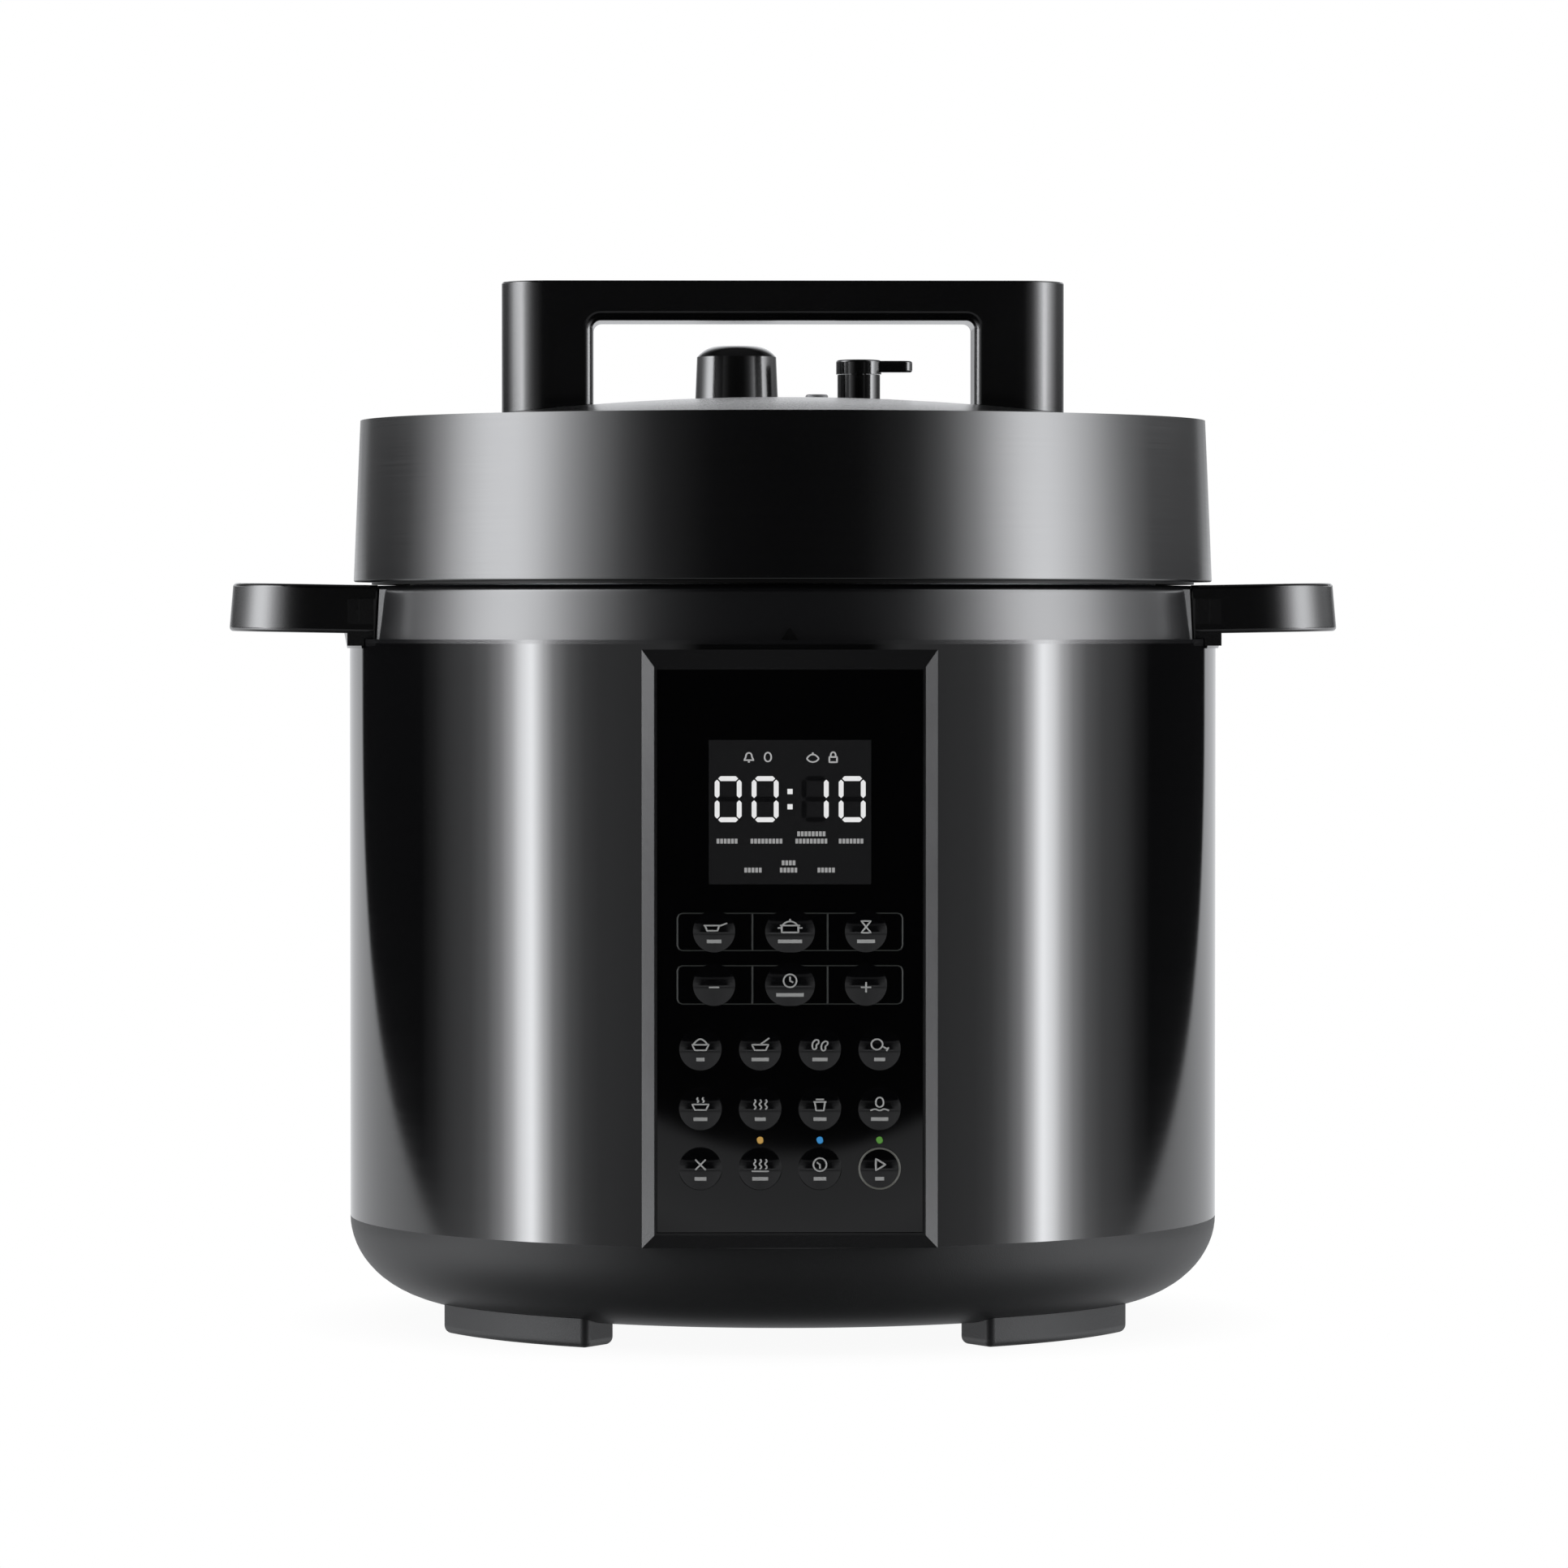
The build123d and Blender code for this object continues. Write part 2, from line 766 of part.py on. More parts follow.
# Sensor cap: the sprung steel cap that touches the pot
with BuildPart() as sensor_cap:
    with BuildSketch(Plane.XY.offset(sensor_top - sensor_height)):
        Circle(sensor_radius)
    extrude(amount=sensor_height)
    fillet(sensor_cap.edges().group_by(Axis.Z)[-1], sensor_edge)
    with BuildSketch(Plane.XY.offset(sensor_top - sensor_height)):
        Circle(sensor_radius - sensor_wall)
    extrude(amount=sensor_height - sensor_wall, mode=Mode.SUBTRACT)
finish(sensor_cap, "sensor_cap")

# Sensor spring: a coil between the cup's floor and the cap
spring_bottom = sensor_cup_floor + sensor_cup_wall + spring_wire + fit_gap
spring_top = sensor_top - sensor_wall - spring_wire - fit_gap
with BuildPart() as sensor_spring:
    with BuildLine() as coil:
        Helix(
            pitch=(spring_top - spring_bottom) / spring_turns,
            height=spring_top - spring_bottom,
            radius=spring_radius,
            center=(0, 0, spring_bottom),
        )
    with BuildSketch(Plane(origin=coil.line @ 0, z_dir=coil.line % 0)):
        Circle(spring_wire)
    sweep(path=coil.line, is_frenet=True)
finish(sensor_spring, "sensor_spring")

# Pressure switch: stands on the base under the sensor cup
with BuildPart() as pressure_switch:
    with BuildSketch(Plane.XY.offset(base_floor)):
        Rectangle(switch_width, switch_depth)
    extrude(amount=switch_height)
    with BuildSketch(Plane.XY.offset(base_floor + switch_height)):
        Circle(plunger_radius)
    extrude(amount=sensor_cup_floor - seat_gap - base_floor - switch_height)
finish(pressure_switch, "pressure_switch")

# Power board: lies on its standoffs, with a relay and a capacitor
power_board_level = base_floor + standoff_height
component_level = power_board_level + board_thickness
with BuildPart() as power_board:
    with BuildSketch(Plane.XY.offset(power_board_level)):
        with Locations((0, power_board_place)):
            Rectangle(power_board_width, power_board_depth)
    extrude(amount=board_thickness)
    with BuildSketch(Plane.XY.offset(component_level)):
        with Locations((-component_spread, power_board_place)):
            Rectangle(relay_width, relay_depth)
    extrude(amount=relay_height)
    with BuildSketch(Plane.XY.offset(component_level)):
        with Locations((component_spread, power_board_place)):
            Circle(capacitor_radius)
    extrude(amount=capacitor_height)
finish(power_board, "power_board")

# Panel frame: a bevelled moulding whose back follows the shell, with a spigot through it
with BuildPart() as panel_frame:
    with BuildSketch(Plane.XZ.offset(bevel_start)):
        with Locations((0, (frame_top + frame_bottom) / 2)):
            Rectangle(2 * frame_half, frame_top - frame_bottom)
    extrude(amount=board_front - bevel_start)
    with BuildSketch(Plane.XZ.offset(bevel_start)):
        with Locations((0, (frame_top + frame_bottom) / 2)):
            Rectangle(2 * frame_half, frame_top - frame_bottom)
    with BuildSketch(Plane.XZ.offset(frame_front)):
        with Locations((0, (rim_top + rim_bottom) / 2)):
            Rectangle(2 * rim_half, rim_top - rim_bottom)
    loft()
    with BuildSketch(Plane.XY.offset(seam_height)):
        Circle(body_radius + fit_gap)
    extrude(amount=shell_top - seam_height, mode=Mode.SUBTRACT)
    with BuildSketch(Plane.XZ.offset(board_front)):
        with Locations((0, glass_middle)):
            Rectangle(2 * spigot_half, spigot_height)
    extrude(amount=glass_back - board_front)
    with BuildSketch(Plane.XZ.offset(board_front)):
        with Locations((0, glass_middle)):
            Rectangle(2 * window_half, window_height)
    extrude(amount=frame_front - board_front, mode=Mode.SUBTRACT)
    with BuildSketch(Plane.XZ.offset(glass_back)):
        with Locations((0, glass_middle)):
            Rectangle(2 * pocket_half, glass_height + 2 * glass_gap)
    extrude(amount=frame_front - glass_back, mode=Mode.SUBTRACT)
finish(panel_frame, "panel_frame")

# Panel glass: a black pane with a hole for each key and each light
with BuildPart() as panel_glass:
    with BuildSketch(Plane.XZ.offset(glass_back)):
        with Locations((0, glass_middle)):
            Rectangle(2 * glass_half, glass_height)
        for x, z, width in keys.values():
            with Locations((x, z)):
                key_outline(width, slide_gap, Mode.SUBTRACT)
        with Locations([(x, light_row) for x in columns[1:]]):
            Circle(light_radius + fit_gap, mode=Mode.SUBTRACT)
    extrude(amount=glass_thickness)
finish(panel_glass, "panel_glass")

# Status lights: light guides from the board to the glass, one over each of three columns
with BuildPart() as status_lights:
    with BuildSketch(Plane.XZ.offset(board_front)):
        with Locations([(x, light_row) for x in columns[1:]]):
            Circle(light_radius)
    extrude(amount=glass_front - board_front)
finish(status_lights, "status_lights")

# Display module: a light box between the board and the glass
with BuildPart() as display_module:
    with BuildSketch(Plane.XZ.offset(board_front)):
        with Locations((0, display_middle)):
            Rectangle(display_width, display_height)
    extrude(amount=glass_back - fit_gap - board_front)
finish(display_module, "display_module")

# Control board: closes the back of the frame's spigot
with BuildPart() as control_board:
    with BuildSketch(Plane.XZ.offset(board_back)):
        with Locations((0, glass_middle)):
            Rectangle(2 * spigot_half, spigot_height)
    extrude(amount=board_thickness)
finish(control_board, "control_board")

# Key switches: one on the board behind each key
with BuildPart() as key_switches:
    with BuildSketch(Plane.XZ.offset(board_front)):
        with Locations([(x, z) for x, z, width in keys.values()]):
            Rectangle(switch_button_size, switch_button_size)
    extrude(amount=switch_button_height)
finish(key_switches, "key_switches")

# Keys: a crowned cap through the glass, a flange behind it and a stem to the switch
key_front = glass_front + key_proud + key_crown
key_flange_front = glass_back - fit_gap
key_flange_back = key_flange_front - key_flange
key_stem_end = board_front + switch_button_height + key_travel + fit_gap
for name, (x, z, width) in keys.items():
    crown_sphere = ((width / 2) ** 2 + key_crown**2) / (2 * key_crown)
    with BuildPart() as key:
        with BuildSketch(Plane.XZ.offset(key_flange_back)):
            with Locations((x, z)):
                key_outline(width, 0.0)
        extrude(amount=key_front + key_crown - key_flange_back)
        with Locations((x, crown_sphere - key_front, z)):
            Sphere(crown_sphere, mode=Mode.INTERSECT)
        with BuildSketch(Plane.XZ.offset(key_flange_back)):
            with Locations((x, z)):
                key_outline(width, slide_gap + key_flange_width)
        extrude(amount=key_flange)
        with BuildSketch(Plane.XZ.offset(key_stem_end)):
            with Locations((x, z)):
                Circle(key_stem_radius)
        extrude(amount=key_flange_back - key_stem_end)
    finish(key, name)

# Mains inlet: a flanged socket let into the back of the shell
with BuildPart() as power_inlet:
    with BuildSketch(Plane.XZ.offset(-inlet_face)):
        with Locations((0, inlet_height)):
            RectangleRounded(
                inlet_spigot_width + 2 * inlet_flange, inlet_spigot_tall + 2 * inlet_flange, inlet_corner
            )
    extrude(amount=inlet_face - inlet_back)
    with BuildSketch(Plane.XY):
        Circle(body_radius + fit_gap)
    extrude(amount=shell_top, mode=Mode.SUBTRACT)
    with BuildSketch(Plane.XZ.offset(-inlet_face)):
        with Locations((0, inlet_height)):
            Rectangle(inlet_spigot_width, inlet_spigot_tall)
    extrude(amount=inlet_face - inlet_back)
    with BuildSketch(Plane.XZ.offset(-inlet_face)):
        with Locations((0, inlet_height)):
            RectangleRounded(inlet_width, inlet_tall, inlet_corner)
    extrude(amount=inlet_depth, mode=Mode.SUBTRACT)
finish(power_inlet, "power_inlet")

# Inlet blades: the two live contacts and the earth
with BuildPart() as inlet_blades:
    with BuildSketch(Plane.XZ.offset(-inlet_floor)):
        with Locations((0, inlet_height + blade_rise)):
            with GridLocations(blade_pitch, 0, 2, 1):
                Rectangle(blade_width, blade_tall)
        with Locations((0, inlet_height + blade_rise + earth_rise)):
            Rectangle(blade_width, blade_tall)
    extrude(amount=-blade_length)
finish(inlet_blades, "inlet_blades")

# Bay: a moulded recess in the back of the shell, open to the rear
bay_inner_width = bay_width - 2 * bay_wall
bay_inner_height = bay_height - 2 * bay_wall
with BuildPart() as cup_bay:
    with BuildSketch(Plane.XZ.offset(-bay_face)):
        with Locations((0, bay_middle)):
            RectangleRounded(
                bay_width + 2 * bay_flange, bay_height + 2 * bay_flange, bay_corner + bay_flange
            )
    extrude(amount=bay_face - bay_back)
    with BuildSketch(Plane.XY):
        Circle(body_radius + fit_gap)
    extrude(amount=shell_top, mode=Mode.SUBTRACT)
    with BuildSketch(Plane.XZ.offset(-bay_face)):
        with Locations((0, bay_middle)):
            RectangleRounded(bay_width, bay_height, bay_corner)
    extrude(amount=bay_face - bay_back)
    with BuildSketch(Plane.XZ.offset(-bay_face)):
        with Locations((0, bay_middle)):
            RectangleRounded(bay_inner_width, bay_inner_height, bay_corner - bay_wall)
    extrude(amount=bay_face - bay_back - bay_wall, mode=Mode.SUBTRACT)
finish(cup_bay, "cup_bay")

# Condensation cup: an open tray that slides into the bay and closes it with its face
cup_width = bay_inner_width - 2 * seat_gap
cup_height = bay_inner_height - 2 * seat_gap
cup_front = bay_face + seat_gap
cup_back = bay_back + bay_wall + seat_gap
cup_bottom = bay_middle - cup_height / 2
with BuildPart() as condensation_cup:
    with BuildSketch(Plane.XZ.offset(-cup_back)):
        with Locations((0, bay_middle)):
            RectangleRounded(cup_width, cup_height, bay_corner - bay_wall)
    extrude(amount=cup_back - cup_front)
    with BuildSketch(Plane.XZ.offset(-cup_front)):
        with Locations((0, bay_middle)):
            RectangleRounded(
                bay_inner_width + 2 * cup_face_overlap, bay_inner_height + 2 * cup_face_overlap, bay_corner
            )
    extrude(amount=-cup_face)
    fillet(condensation_cup.faces().sort_by(Axis.Y)[-1].edges(), cup_face_edge)
    with BuildSketch(Plane.XY.offset(cup_bottom + cup_sheet)):
        with Locations((0, (cup_back + cup_front) / 2)):
            Rectangle(cup_width - 2 * cup_sheet, cup_front - cup_back - 2 * cup_sheet)
    extrude(amount=cup_height, mode=Mode.SUBTRACT)
finish(condensation_cup, "condensation_cup")

# Inner pot: the lift-out steel pot with an outward rim
with BuildPart() as inner_pot:
    with BuildSketch(Plane.XZ):
        with BuildLine():
            Polyline(
                (0, pot_bottom),
                (pot_outer, pot_bottom),
                (pot_outer, pot_rim),
                (pot_outer + pot_rim_width, pot_rim),
                (pot_outer + pot_rim_width, pot_top),
                (pot_radius, pot_top),
                (pot_radius, pot_bottom + pot_base),
                (0, pot_bottom + pot_base),
                close=True,
            )
        make_face()
    revolve(axis=Axis.Z)
    pot_circles = inner_pot.edges().filter_by(GeomType.CIRCLE).group_by(Axis.Z)
    fillet(pot_circles[0], pot_corner)
    pot_circles = inner_pot.edges().filter_by(GeomType.CIRCLE)
    fillet(pot_circles.filter_by_position(Axis.Z, pot_bottom + pot_base, pot_bottom + pot_base), pot_corner)
finish(inner_pot, "inner_pot")

# Sealing ring: a silicone ring with a slot in its inner side
ring_middle = (ring_bottom + ring_top) / 2
with BuildPart() as sealing_ring:
    with BuildSketch(Plane.XZ):
        with BuildLine():
            Polyline(
                (ring_inner, ring_bottom),
                (ring_outer, ring_bottom),
                (ring_outer, ring_top),
                (ring_inner + ring_lip, ring_top),
                (ring_inner + ring_lip, ring_top - ring_lip),
                (ring_inner + ring_slot, ring_middle),
                (ring_inner, ring_bottom + ring_lip),
                close=True,
            )
        make_face()
    revolve(axis=Axis.Z)
finish(sealing_ring, "sealing_ring")

# Lid plate: the steel pressure lid with its bayonet hooks
lid_hook = ring_sector(hook_radius, skirt_outer, hook_bottom, hook_top, tooth_angle)
crown_foot = ring_inner - crown_foot_gap
with BuildPart() as lid_plate:
    with BuildSketch(Plane.XZ):
        with BuildLine():
            Polyline(
                (0, crown_under),
                (crown_radius, crown_under),
                (crown_foot, seal_face),
                (skirt_inner, seal_face),
                (skirt_inner, hook_bottom),
                (skirt_outer, hook_bottom),
                (skirt_outer, seal_face + lid_plate_wall),
                (crown_foot, seal_face + lid_plate_wall),
                (crown_radius, crown_top),
                (0, crown_top),
                close=True,
            )
        make_face()
    revolve(axis=Axis.Z)
    with PolarLocations(0, tooth_count):
        add(lid_hook)
    with BuildSketch(Plane.XY.offset(crown_under)):
        with Locations((valve_x, valve_y), (lever_x, lever_y), (float_x, float_y)):
            Circle(stud_hole)
        with GridLocations(2 * bolt_x, 0, 2, 1):
            Circle(bolt_hole)
    extrude(amount=lid_plate_wall, mode=Mode.SUBTRACT)
finish(lid_plate, "lid_plate")

# Gasket rack: a wire ring on legs that keeps the sealing ring in place
rack_radius = ring_inner - seat_gap - rack_wire
with BuildPart() as gasket_rack:
    with BuildSketch(Plane.XZ):
        with Locations((rack_radius, ring_middle)):
            Circle(rack_wire)
    revolve(axis=Axis.Z)
    with BuildSketch(Plane.XY.offset(ring_middle)):
        with PolarLocations(rack_radius, rack_legs):
            Circle(rack_leg_radius)
    extrude(amount=seal_face - ring_middle)
finish(gasket_rack, "gasket_rack")

# Lid cover: the moulded outer lid, with a sunk top for the dome, bosses for the handle and a lip
# that hides the steel from the side
cover_depth = dome_sheet + fit_gap
cover_rim = dome_radius + slide_gap
cover_arc_radius = cover_rim / 2
lip_outer = lid_radius - lid_lip_inset
lip_inner = lip_outer - lid_lip_wall
lip_bottom = collar_top + lid_lip_gap
boss_top = dome_height(bolt_x, 0, cover_depth + lid_wall / 2)
with BuildPart() as lid_cover:
    with BuildSketch(Plane.XZ) as cover_profile:
        with BuildLine():
            ThreePointArc(
                (0, dome_height(0, 0, cover_depth)),
                (cover_arc_radius, dome_height(cover_arc_radius, 0, cover_depth)),
                (cover_rim, dome_height(cover_rim, 0, cover_depth)),
            )
            Polyline(
                (cover_rim, dome_height(cover_rim, 0, cover_depth)),
                (cover_rim, lid_deck),
                (lid_top_radius, lid_deck),
                (lid_radius, lid_bottom),
                (lip_outer, lid_bottom),
                (lip_outer, lip_bottom),
                (lip_inner, lip_bottom),
                (lip_inner, lid_bottom + lid_wall),
                (lid_radius - lid_wall, lid_bottom + lid_wall),
                (lid_top_radius - lid_wall, lid_deck - lid_wall),
                (cover_rim, dome_height(cover_rim, 0, cover_depth + lid_wall)),
            )
            ThreePointArc(
                (cover_rim, dome_height(cover_rim, 0, cover_depth + lid_wall)),
                (cover_arc_radius, dome_height(cover_arc_radius, 0, cover_depth + lid_wall)),
                (0, dome_height(0, 0, cover_depth + lid_wall)),
            )
            Line((0, dome_height(0, 0, cover_depth + lid_wall)), (0, dome_height(0, 0, cover_depth)))
        make_face()
        corners = cover_profile.vertices().sort_by(Axis.X)
        fillet(corners[-1], lid_foot_edge)
        fillet(corners.filter_by_position(Axis.Y, lid_deck, lid_deck)[-1], lid_edge)
    revolve(axis=Axis.Z)
    with BuildSketch(Plane.XY.offset(crown_top)):
        with GridLocations(2 * bolt_x, 0, 2, 1):
            Circle(boss_radius)
    extrude(amount=boss_top - crown_top)
    with BuildSketch(Plane.XY.offset(crown_top)):
        with GridLocations(2 * bolt_x, 0, 2, 1):
            Circle(bolt_hole)
        with Locations((valve_x, valve_y)):
            Circle(stud_hole)
        with Locations((lever_x, lever_y)):
            Circle(lever_hole)
        with Locations((float_x, float_y)):
            Circle(float_hole)
    extrude(amount=dome_crest - crown_top, mode=Mode.SUBTRACT)
finish(lid_cover, "lid_cover")

# Lid dome: a thin steel disc in the top of the lid
dome_arc_radius = dome_radius / 2
with BuildPart() as lid_dome:
    with BuildSketch(Plane.XZ):
        with BuildLine():
            ThreePointArc(
                (0, dome_crest),
                (dome_arc_radius, dome_height(dome_arc_radius, 0)),
                (dome_radius, dome_height(dome_radius, 0)),
            )
            Line(
                (dome_radius, dome_height(dome_radius, 0)),
                (dome_radius, dome_height(dome_radius, 0, dome_sheet)),
            )
            ThreePointArc(
                (dome_radius, dome_height(dome_radius, 0, dome_sheet)),
                (dome_arc_radius, dome_height(dome_arc_radius, 0, dome_sheet)),
                (0, dome_height(0, 0, dome_sheet)),
            )
            Line((0, dome_height(0, 0, dome_sheet)), (0, dome_crest))
        make_face()
    revolve(axis=Axis.Z)
    with BuildSketch(Plane.XY.offset(crown_top)):
        with GridLocations(2 * bolt_x, 0, 2, 1):
            Circle(bolt_hole)
        with Locations((valve_x, valve_y)):
            Circle(stud_hole)
        with Locations((lever_x, lever_y)):
            Circle(lever_hole)
        with Locations((float_x, float_y)):
            Circle(float_hole)
    extrude(amount=grip_under - crown_top, mode=Mode.SUBTRACT)
finish(lid_dome, "lid_dome")

# Lid handle: a bridge whose two legs stand on the dome
grip_opening = grip_length - 2 * grip_leg
with BuildPart() as lid_handle:
    with BuildSketch(Plane.XY.offset(lid_deck)):
        RectangleRounded(grip_length, grip_depth, grip_corner)
    extrude(amount=grip_top - lid_deck)
    fillet(lid_handle.faces().sort_by(Axis.Z)[-1].edges(), grip_edge)
    with BuildSketch(Plane.XZ.offset(-grip_depth)):
        with Locations((0, (lid_deck + grip_under) / 2)):
            Rectangle(grip_opening, grip_under - lid_deck)
    extrude(amount=2 * grip_depth, mode=Mode.SUBTRACT)
    inner_corners = lid_handle.edges().filter_by(Axis.Y)
    fillet(inner_corners.filter_by_position(Axis.Z, grip_under, grip_under), grip_inner_corner)
    rims = lid_handle.edges().filter_by_position(Axis.X, -grip_opening / 2, grip_opening / 2)
    rims = rims.filter_by_position(Axis.Z, lid_deck, grip_under)
    fillet(rims.group_by(Axis.Y)[0] + rims.group_by(Axis.Y)[-1], grip_inner_edge)
    with Locations((0, 0, dome_crest - dome_sphere)):
        Sphere(dome_sphere + fit_gap, mode=Mode.SUBTRACT)
    with BuildSketch(Plane.XY.offset(lid_deck)):
        with GridLocations(2 * bolt_x, 0, 2, 1):
            Circle(bolt_radius + fit_gap)
    extrude(amount=dome_height(bolt_x, 0) + bolt_bite + seat_gap - lid_deck, mode=Mode.SUBTRACT)
finish(lid_handle, "lid_handle")

# Handle bolts: from under the lid plate up into the legs
with BuildPart() as handle_bolts:
    with BuildSketch(Plane.XY.offset(crown_under)):
        with GridLocations(2 * bolt_x, 0, 2, 1):
            Circle(bolt_head_radius)
    extrude(amount=-bolt_head_height)
    with BuildSketch(Plane.XY.offset(crown_under)):
        with GridLocations(2 * bolt_x, 0, 2, 1):
            Circle(bolt_radius)
    extrude(amount=dome_height(bolt_x, 0) + bolt_bite - crown_under)
finish(handle_bolts, "handle_bolts")

# Lid nuts: they hold the vent pipe, the lever post and the float guide
with BuildPart() as lid_nuts:
    with BuildSketch(Plane.XY.offset(crown_under)):
        with Locations((valve_x, valve_y), (lever_x, lever_y), (float_x, float_y)):
            RegularPolygon(nut_radius, 6)
            Circle(stud_radius + fit_gap, mode=Mode.SUBTRACT)
    extrude(amount=-nut_height)
finish(lid_nuts, "lid_nuts")

# Vent pipe: the tube that the valve cap sits on
stud_end = crown_under - nut_height - nut_thread_end
pipe_seat_bottom = highest_under(valve_x, valve_y, pipe_seat_radius) + slide_gap
pipe_seat_top = pipe_seat_bottom + pipe_seat
pipe_top = pipe_seat_top + pipe_rise
with BuildPart() as vent_pipe:
    with BuildSketch(upright_plane(valve_x, valve_y)):
        with BuildLine():
            Polyline(
                (pipe_bore, stud_end),
                (stud_radius, stud_end),
                (stud_radius, pipe_seat_bottom),
                (pipe_seat_radius, pipe_seat_bottom),
                (pipe_seat_radius, pipe_seat_top),
                (stud_radius, pipe_seat_top),
                (stud_radius, pipe_top),
                (pipe_bore, pipe_top),
                close=True,
            )
        make_face()
    revolve(axis=upright_axis(valve_x, valve_y))
finish(vent_pipe, "vent_pipe")

# Block shield: a pierced cup under the vent pipe
with BuildPart() as block_shield:
    with BuildSketch(Plane.XY.offset(crown_under - shield_drop)):
        with Locations((valve_x, valve_y)):
            Circle(shield_radius)
    extrude(amount=shield_drop)
    with BuildSketch(Plane.XY.offset(crown_under - shield_drop + shield_wall)):
        with Locations((valve_x, valve_y)):
            Circle(shield_radius - shield_wall)
    extrude(amount=shield_drop, mode=Mode.SUBTRACT)
    with BuildSketch(Plane.XY.offset(crown_under - shield_drop)):
        with Locations((valve_x, valve_y)):
            with PolarLocations(shield_radius / 2, shield_holes):
                Circle(shield_hole_radius)
    extrude(amount=shield_wall, mode=Mode.SUBTRACT)
finish(block_shield, "block_shield")

# Valve cap: the weight on the vent pipe, with a dimple in its crown
cap_bottom = highest_under(valve_x, valve_y, cap_radius) + seat_gap
cap_shoulder = cap_bottom + cap_side
cap_top = cap_shoulder + cap_crown
cap_top_radius = cap_radius - cap_draft
with BuildPart() as valve_cap:
    with BuildSketch(upright_plane(valve_x, valve_y)):
        with BuildLine():
            cap_line = Polyline(
                (0, pipe_top + seat_gap),
                (stud_radius + seat_gap, pipe_top + seat_gap),
                (stud_radius + seat_gap, pipe_seat_top + seat_gap),
                (pipe_seat_radius + seat_gap, pipe_seat_top + seat_gap),
                (pipe_seat_radius + seat_gap, cap_bottom),
                (cap_radius, cap_bottom),
                (cap_top_radius, cap_shoulder),
            )
            ThreePointArc(
                cap_line @ 1,
                (cap_top_radius - cap_bulge, cap_shoulder + cap_crown - cap_bulge),
                (cap_dimple_radius, cap_top),
            )
            Line((cap_dimple_radius, cap_top), (0, cap_top - cap_dimple))
            Line((0, cap_top - cap_dimple), (0, pipe_top + seat_gap))
        make_face()
    revolve(axis=upright_axis(valve_x, valve_y))
finish(valve_cap, "valve_cap")

# Lever post: a stem on the lid plate with a pivot on top
post_top = dome_height(lever_x, lever_y) + lever_post_rise
with BuildPart() as lever_post:
    with BuildSketch(Plane.XY.offset(stud_end)):
        with Locations((lever_x, lever_y)):
            Circle(stud_radius)
    extrude(amount=crown_top - stud_end)
    with BuildSketch(Plane.XY.offset(crown_top)):
        with Locations((lever_x, lever_y)):
            Circle(lever_post_radius)
    extrude(amount=post_top - crown_top)
    with BuildSketch(Plane.XY.offset(post_top)):
        with Locations((lever_x, lever_y)):
            Circle(pivot_radius)
    extrude(amount=pivot_height)
finish(lever_post, "lever_post")

# Release lever: turns on the post to let the steam out
lever_bottom = post_top + slide_gap
with BuildPart() as lever_bar:
    with BuildSketch(Plane.XY.offset(lever_bottom + lever_bar_lift)):
        with Locations((lever_x + (lever_length - lever_width / 2) / 2, lever_y)):
            Rectangle(lever_length - lever_width / 2, lever_width)
        with Locations((lever_x + lever_length - lever_width / 2, lever_y)):
            Circle(lever_width / 2)
    extrude(amount=lever_bar_height)
    fillet(lever_bar.faces().sort_by(Axis.Z)[-1].edges(), lever_edge)
    fillet(lever_bar.faces().sort_by(Axis.Z)[0].edges(), lever_edge)
with BuildPart() as release_lever:
    with BuildSketch(Plane.XY.offset(lever_bottom)):
        with Locations((lever_x, lever_y)):
            Circle(lever_hub_radius)
    extrude(amount=lever_height)
    fillet(release_lever.faces().sort_by(Axis.Z)[-1].edges(), lever_edge)
    add(lever_bar.part)
    with BuildSketch(Plane.XY.offset(lever_bottom)):
        with Locations((lever_x, lever_y)):
            Circle(pivot_radius + pivot_gap)
    extrude(amount=pivot_height, mode=Mode.SUBTRACT)
finish(release_lever, "release_lever")

# Float guide: a sleeve through the lid for the float pin
guide_top = dome_height(float_x, float_y) + float_guide_rise
guide_bore = float_radius + seat_gap
with BuildPart() as float_guide:
    with BuildSketch(upright_plane(float_x, float_y)):
        with BuildLine():
            Polyline(
                (guide_bore, stud_end),
                (stud_radius, stud_end),
                (stud_radius, crown_top),
                (float_guide_radius, crown_top),
                (float_guide_radius, guide_top),
                (guide_bore, guide_top),
                close=True,
            )
        make_face()
    revolve(axis=upright_axis(float_x, float_y))
finish(float_guide, "float_guide")

# Float pin: rises when the pot is under pressure
float_head_bottom = guide_top + fit_gap
float_seal_top = stud_end - float_travel - seat_gap
float_seal_bottom = float_seal_top - float_seal_height
with BuildPart() as float_pin:
    with BuildSketch(upright_plane(float_x, float_y)):
        with BuildLine():
            Polyline(
                (0, float_seal_bottom - float_foot),
                (float_head_radius, float_seal_bottom - float_foot),
                (float_head_radius, float_seal_bottom),
                (float_radius, float_seal_bottom),
                (float_radius, float_head_bottom),
                (float_head_radius, float_head_bottom),
                (float_head_radius, float_head_bottom + float_head),
                (0, float_head_bottom + float_head),
                close=True,
            )
        make_face()
    revolve(axis=upright_axis(float_x, float_y))
    fillet(float_pin.edges().group_by(Axis.Z)[-1], float_head / 3)
finish(float_pin, "float_pin")

# Float seal: a soft washer on the foot of the pin
with BuildPart() as float_seal:
    with BuildSketch(Plane.XY.offset(float_seal_bottom)):
        with Locations((float_x, float_y)):
            Circle(float_seal_radius)
            Circle(float_radius + fit_gap, mode=Mode.SUBTRACT)
    extrude(amount=float_seal_height)
finish(float_seal, "float_seal")
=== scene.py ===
import math

